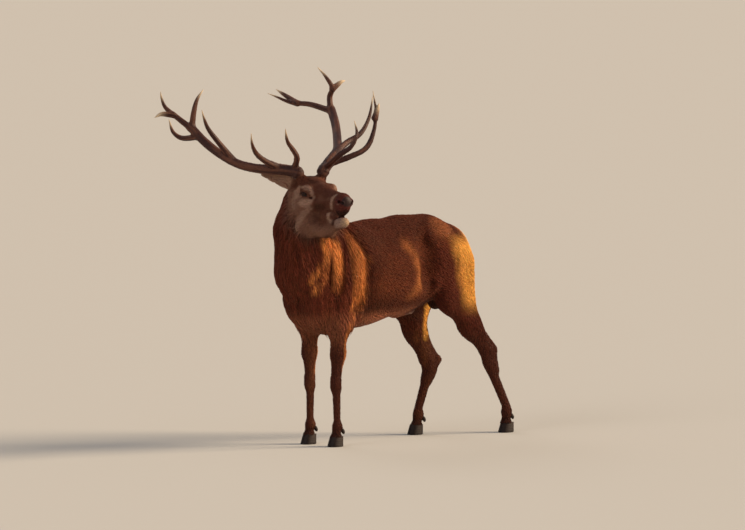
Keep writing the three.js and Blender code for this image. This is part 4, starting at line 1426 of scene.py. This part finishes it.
# ---- antlers, in the head's frame
RIGHT_ANTLER = dict(
    burr=[[-62, -70, 103], [-72, -86, 119]],
    beam=[
        [-66, -78, 116], [-108, -128, 130], [-180, -215, 140], [-255, -300, 170], [-345, -360, 230],
        [-430, -400, 300], [-510, -425, 375],
    ],
    brow=[[-78, -88, 126], [-25, -100, 190], [-15, -125, 225], [0, -165, 270], [50, -205, 335]],
    bez=[[-120, -140, 142], [-120, -215, 170], [-100, -290, 215], [-50, -345, 265], [-5, -375, 320]],
    trez=[[-285, -325, 200], [-315, -385, 290], [-315, -440, 360], [-285, -480, 415], [-260, -505, 455]],
    crown_inner=[[-505, -422, 370], [-500, -410, 445], [-500, -385, 515], [-500, -345, 565]],
    crown_outer=[
        [-505, -424, 368], [-565, -470, 430], [-610, -510, 485], [-610, -530, 535], [-590, -545, 565],
    ],
    crown_side=[[-575, -490, 445], [-590, -550, 450], [-595, -585, 435]],
    crown_back=[[-455, -412, 325], [-560, -455, 325], [-595, -480, 355], [-640, -475, 425]],
)
LEFT_ANTLER = dict(
    burr=[[-52, 66, 102], [-56, 74, 122]],
    beam=[
        [-55, 70, 115], [-68, 122, 163], [-130, 206, 213], [-230, 272, 258], [-320, 327, 308],
        [-395, 367, 363], [-485, 404, 435],
    ],
    brow=[[-45, 80, 130], [65, 110, 195], [100, 145, 225], [110, 180, 285], [55, 205, 360]],
    bez=[[-65, 100, 145], [-15, 210, 180], [0, 300, 220], [0, 350, 300], [0, 370, 400], [-25, 375, 510]],
    bez_side=[[0, 362, 370], [5, 390, 445]],
    trez=[[-120, 190, 205], [-170, 300, 260], [-175, 375, 295], [-200, 450, 375], [-245, 510, 490]],
    crown_inner=[[-480, 398, 430], [-500, 408, 500], [-475, 410, 545], [-485, 385, 600], [-500, 345, 655]],
    crown_outer=[[-470, 410, 540], [-470, 440, 560], [-470, 465, 575], [-475, 490, 580]],
    crown_back=[[-475, 396, 428], [-600, 345, 470], [-690, 290, 485], [-760, 245, 520], [-800, 220, 540]],
    crown_fork=[[-660, 308, 480], [-720, 305, 505], [-830, 290, 560]],
)
BEAM_RADII = (30, 27, 24, 23, 23, 22, 23)
TINE_RADII = (17, 15.5, 13, 8.5, 2)
BURR_RADIUS = 31
PEARLS = 15  # round the burr
PEARL_RADIUS = 6.5
ANTLER_CELL = 2.8
ANTLER_MARGIN = 45  # room left round an antler's curves
GRAIN = 22  # mm along a branch for each unit of its grain
TIP_LIGHT, TIP_DARK = 12, 90  # from the tip to where the pale end of a tine ends
ANTLER_DARK = (0.042, 0.010, 0.006)
ANTLER_LIGHT = (0.140, 0.050, 0.026)
ANTLER_TIP = (0.66, 0.50, 0.33)


def spline(points, steps=6):
    """Points along a smooth curve through the given ones."""
    p = np.array(points, float)
    p = np.concatenate([[2 * p[0] - p[1]], p, [2 * p[-1] - p[-2]]])
    found = []
    for a, b, c, d in zip(p[:-3], p[1:-2], p[2:-1], p[3:]):
        t1 = np.sqrt(norm(b - a))
        t2 = t1 + np.sqrt(norm(c - b))
        t3 = t2 + np.sqrt(norm(d - c))
        t = np.linspace(t1, t2, steps, endpoint=False)[:, None]
        ab = a + (b - a) * t / t1
        bc = b + (c - b) * (t - t1) / (t2 - t1)
        cd = c + (d - c) * (t - t2) / (t3 - t2)
        abc = ab + (bc - ab) * t / t2
        bcd = bc + (cd - bc) * (t - t1) / (t3 - t1)
        found.append(abc + (bcd - abc) * (t - t1) / (t2 - t1))
    return np.concatenate([*found, p[-2:-1]])


class Branch:
    """A beam or a tine: round cones along a curve."""

    def __init__(self, points, radii):
        self.points = spline(points)
        steps = norm(np.diff(self.points, axis=0))
        self.along = np.concatenate([[0], np.cumsum(steps)])
        self.length = self.along[-1]
        self.radii = np.interp(self.along / self.length, np.linspace(0, 1, len(radii)), radii) * 0.97
        whole = unit(self.points[-1] - self.points[0])
        self.across = unit(np.cross(whole, [0.31, 0.17, 0.93]))

    def near(self, h):
        """Distance to the branch, how far along it, and where round it."""
        best = np.full(len(h), 1e4, np.float32)
        along = np.zeros(len(h), np.float32)
        round_it = np.zeros((len(h), 2), np.float32)
        for i in range(len(self.points) - 1):
            a, step = vec(self.points[i]), vec(self.points[i + 1] - self.points[i])
            q = h - a
            t = np.clip(q @ step / float(step @ step), 0, 1)
            off = q - t[:, None] * step
            d = norm(off) - mix(self.radii[i], self.radii[i + 1], t)
            closer = d < best
            way = unit(step)
            e1 = unit(self.across - way * (self.across @ way))
            turned = np.stack([off @ e1, off @ np.cross(way, e1)], 1) / np.maximum(norm(off), 1e-3)[:, None]
            round_it = np.where(closer[:, None], turned, round_it)
            along = np.where(closer, mix(self.along[i], self.along[i + 1], t), along)
            best = np.where(closer, d, best)
        return best, along, round_it


class Antler:
    """The branches of one antler, grown together, and the pearls round its burr."""

    def __init__(self, burr, beam, **tines):
        self.branches = [Branch(beam, BEAM_RADII), *(Branch(points, TINE_RADII) for points in tines.values())]
        self.starts = [0]
        self.starts += [float(self.branches[0].near(vec(b.points[:1]))[1][0]) for b in self.branches[1:]]
        low, high = np.array(burr, float)
        self.burr = [rod(low, BURR_RADIUS - 4, high, BURR_RADIUS - 6)]
        axis = unit(high - low)
        side = unit(np.cross(axis, [0, 0.2, 1]))
        for i in range(PEARLS):
            turn = 2 * math.pi * i / PEARLS
            out = side * math.cos(turn) + np.cross(axis, side) * math.sin(turn)
            self.burr.append(ball(mix(low, high, 0.35) + out * (BURR_RADIUS - 5), [PEARL_RADIUS] * 3, 5))

    def field(self, h):
        """Distance to the antler, its grain, and how near the tip of its branch a place is."""
        d = blended(self.burr, h)
        share = np.full(len(h), 1e-6, np.float32)
        grain = np.zeros((len(h), 3), np.float32)
        tip = np.zeros(len(h), np.float32)
        for number, branch in enumerate(self.branches):
            far, along, round_it = branch.near(h)
            weight = np.exp(-np.clip(far, -5, 60) / 3)
            place = np.concatenate([round_it, ((along + self.starts[number]) / GRAIN)[:, None]], 1)
            grain += place * weight[:, None]
            if number:
                tip += weight * fall(branch.length - along, TIP_LIGHT, TIP_DARK)
            share += weight
            d = smooth_min(d, far, 10)
        return d, grain / share[:, None], tip / share

    def distance(self, h):
        """The same with grooves along the branches and pearls low on the beam."""
        d, grain, tip = self.field(h)
        close = np.nonzero(np.abs(d) < 6)[0]
        g, rough = grain[close], 1 - tip[close]
        groove = noise(g, (0.42, 0.42, 3.4), 61) - 0.5
        pearl = rise(noise(g, (0.35, 0.35, 0.42), 62), 0.62, 0.9) * fall(g[:, 2], 6, 26)
        d[close] += rough * (2.0 * groove - 1.8 * pearl)
        return d


def antler_mesh(shape):
    antler = Antler(**shape)
    ends = np.concatenate([branch.points for branch in antler.branches])
    low, high = ends.min(0) - ANTLER_MARGIN, ends.max(0) + ANTLER_MARGIN
    values, low = sample(antler.distance, low, high, ANTLER_CELL)
    points, quads = net(values, low, ANTLER_CELL)
    mesh = new_mesh("antler", from_head(points).tolist(), quads.tolist())
    _, grain, tip = antler.field(points)
    lit = rise(noise(grain, (0.5, 0.5, 4.0), 63), 0.35, 0.8)
    add_colours(mesh, layered(ANTLER_DARK, (ANTLER_LIGHT, lit * 0.75), (ANTLER_TIP, tip * tip)))
    put(mesh.attributes.new("grain", "FLOAT_VECTOR", "POINT").data, "vector", grain)
    return mesh


def make_antlers():
    for word, shape in (("left", LEFT_ANTLER), ("right", RIGHT_ANTLER)):
        nodes = [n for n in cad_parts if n.startswith(f"antler_{word}")]
        make_piece(f"antler_{word}", antler_mesh(shape), MATERIALS["antler"], nodes)


# ---- skin and coat
def unwrap(mesh):
    """Lays the skin's own shape flat in the map that the coat shares."""
    mesh.uv_layers.new(name="OFBake")
    piece = add_object("unwrap", mesh)
    bpy.context.view_layer.objects.active = piece
    piece.select_set(True)
    bpy.ops.object.mode_set(mode="EDIT")
    bpy.ops.mesh.select_all(action="SELECT")
    bpy.ops.uv.smart_project(angle_limit=math.radians(66), island_margin=0.001)
    bpy.ops.object.mode_set(mode="OBJECT")
    bpy.data.objects.remove(piece)


def colour_skin(mesh):
    """The coat's own colours, darker between the roots of the hair."""
    points = mesh_points(mesh)
    bare = in_parts(bareness, points)
    add_colours(mesh, in_parts(coat_colour, points) * mix(0.6, 1.0, bare)[:, None])
    put(mesh.attributes.new("bare", "FLOAT", "POINT").data, "value", bare)


def make_skin_and_coat():
    mesh = make_skin_mesh()
    colour_skin(mesh)
    unwrap(mesh)
    surface = Skin(mesh)
    rng = np.random.default_rng(SEED)
    for name in KINDS:
        grow_coat(surface, name, rng)
    flesh = [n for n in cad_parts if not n.startswith(("antler", "eye")) and "claw" not in n]
    make_piece("skin", mesh, MATERIALS["skin"], flesh)


MATERIALS = {
    "hair": make_hair(),
    "skin": make_bare_skin(),
    "antler": make_antler(),
    "horn": make_horn(),
    "eye": make_eye(),
}
add_camera()
add_stage()
add_suns()
make_eyes()
make_hooves()
make_antlers()
make_skin_and_coat()
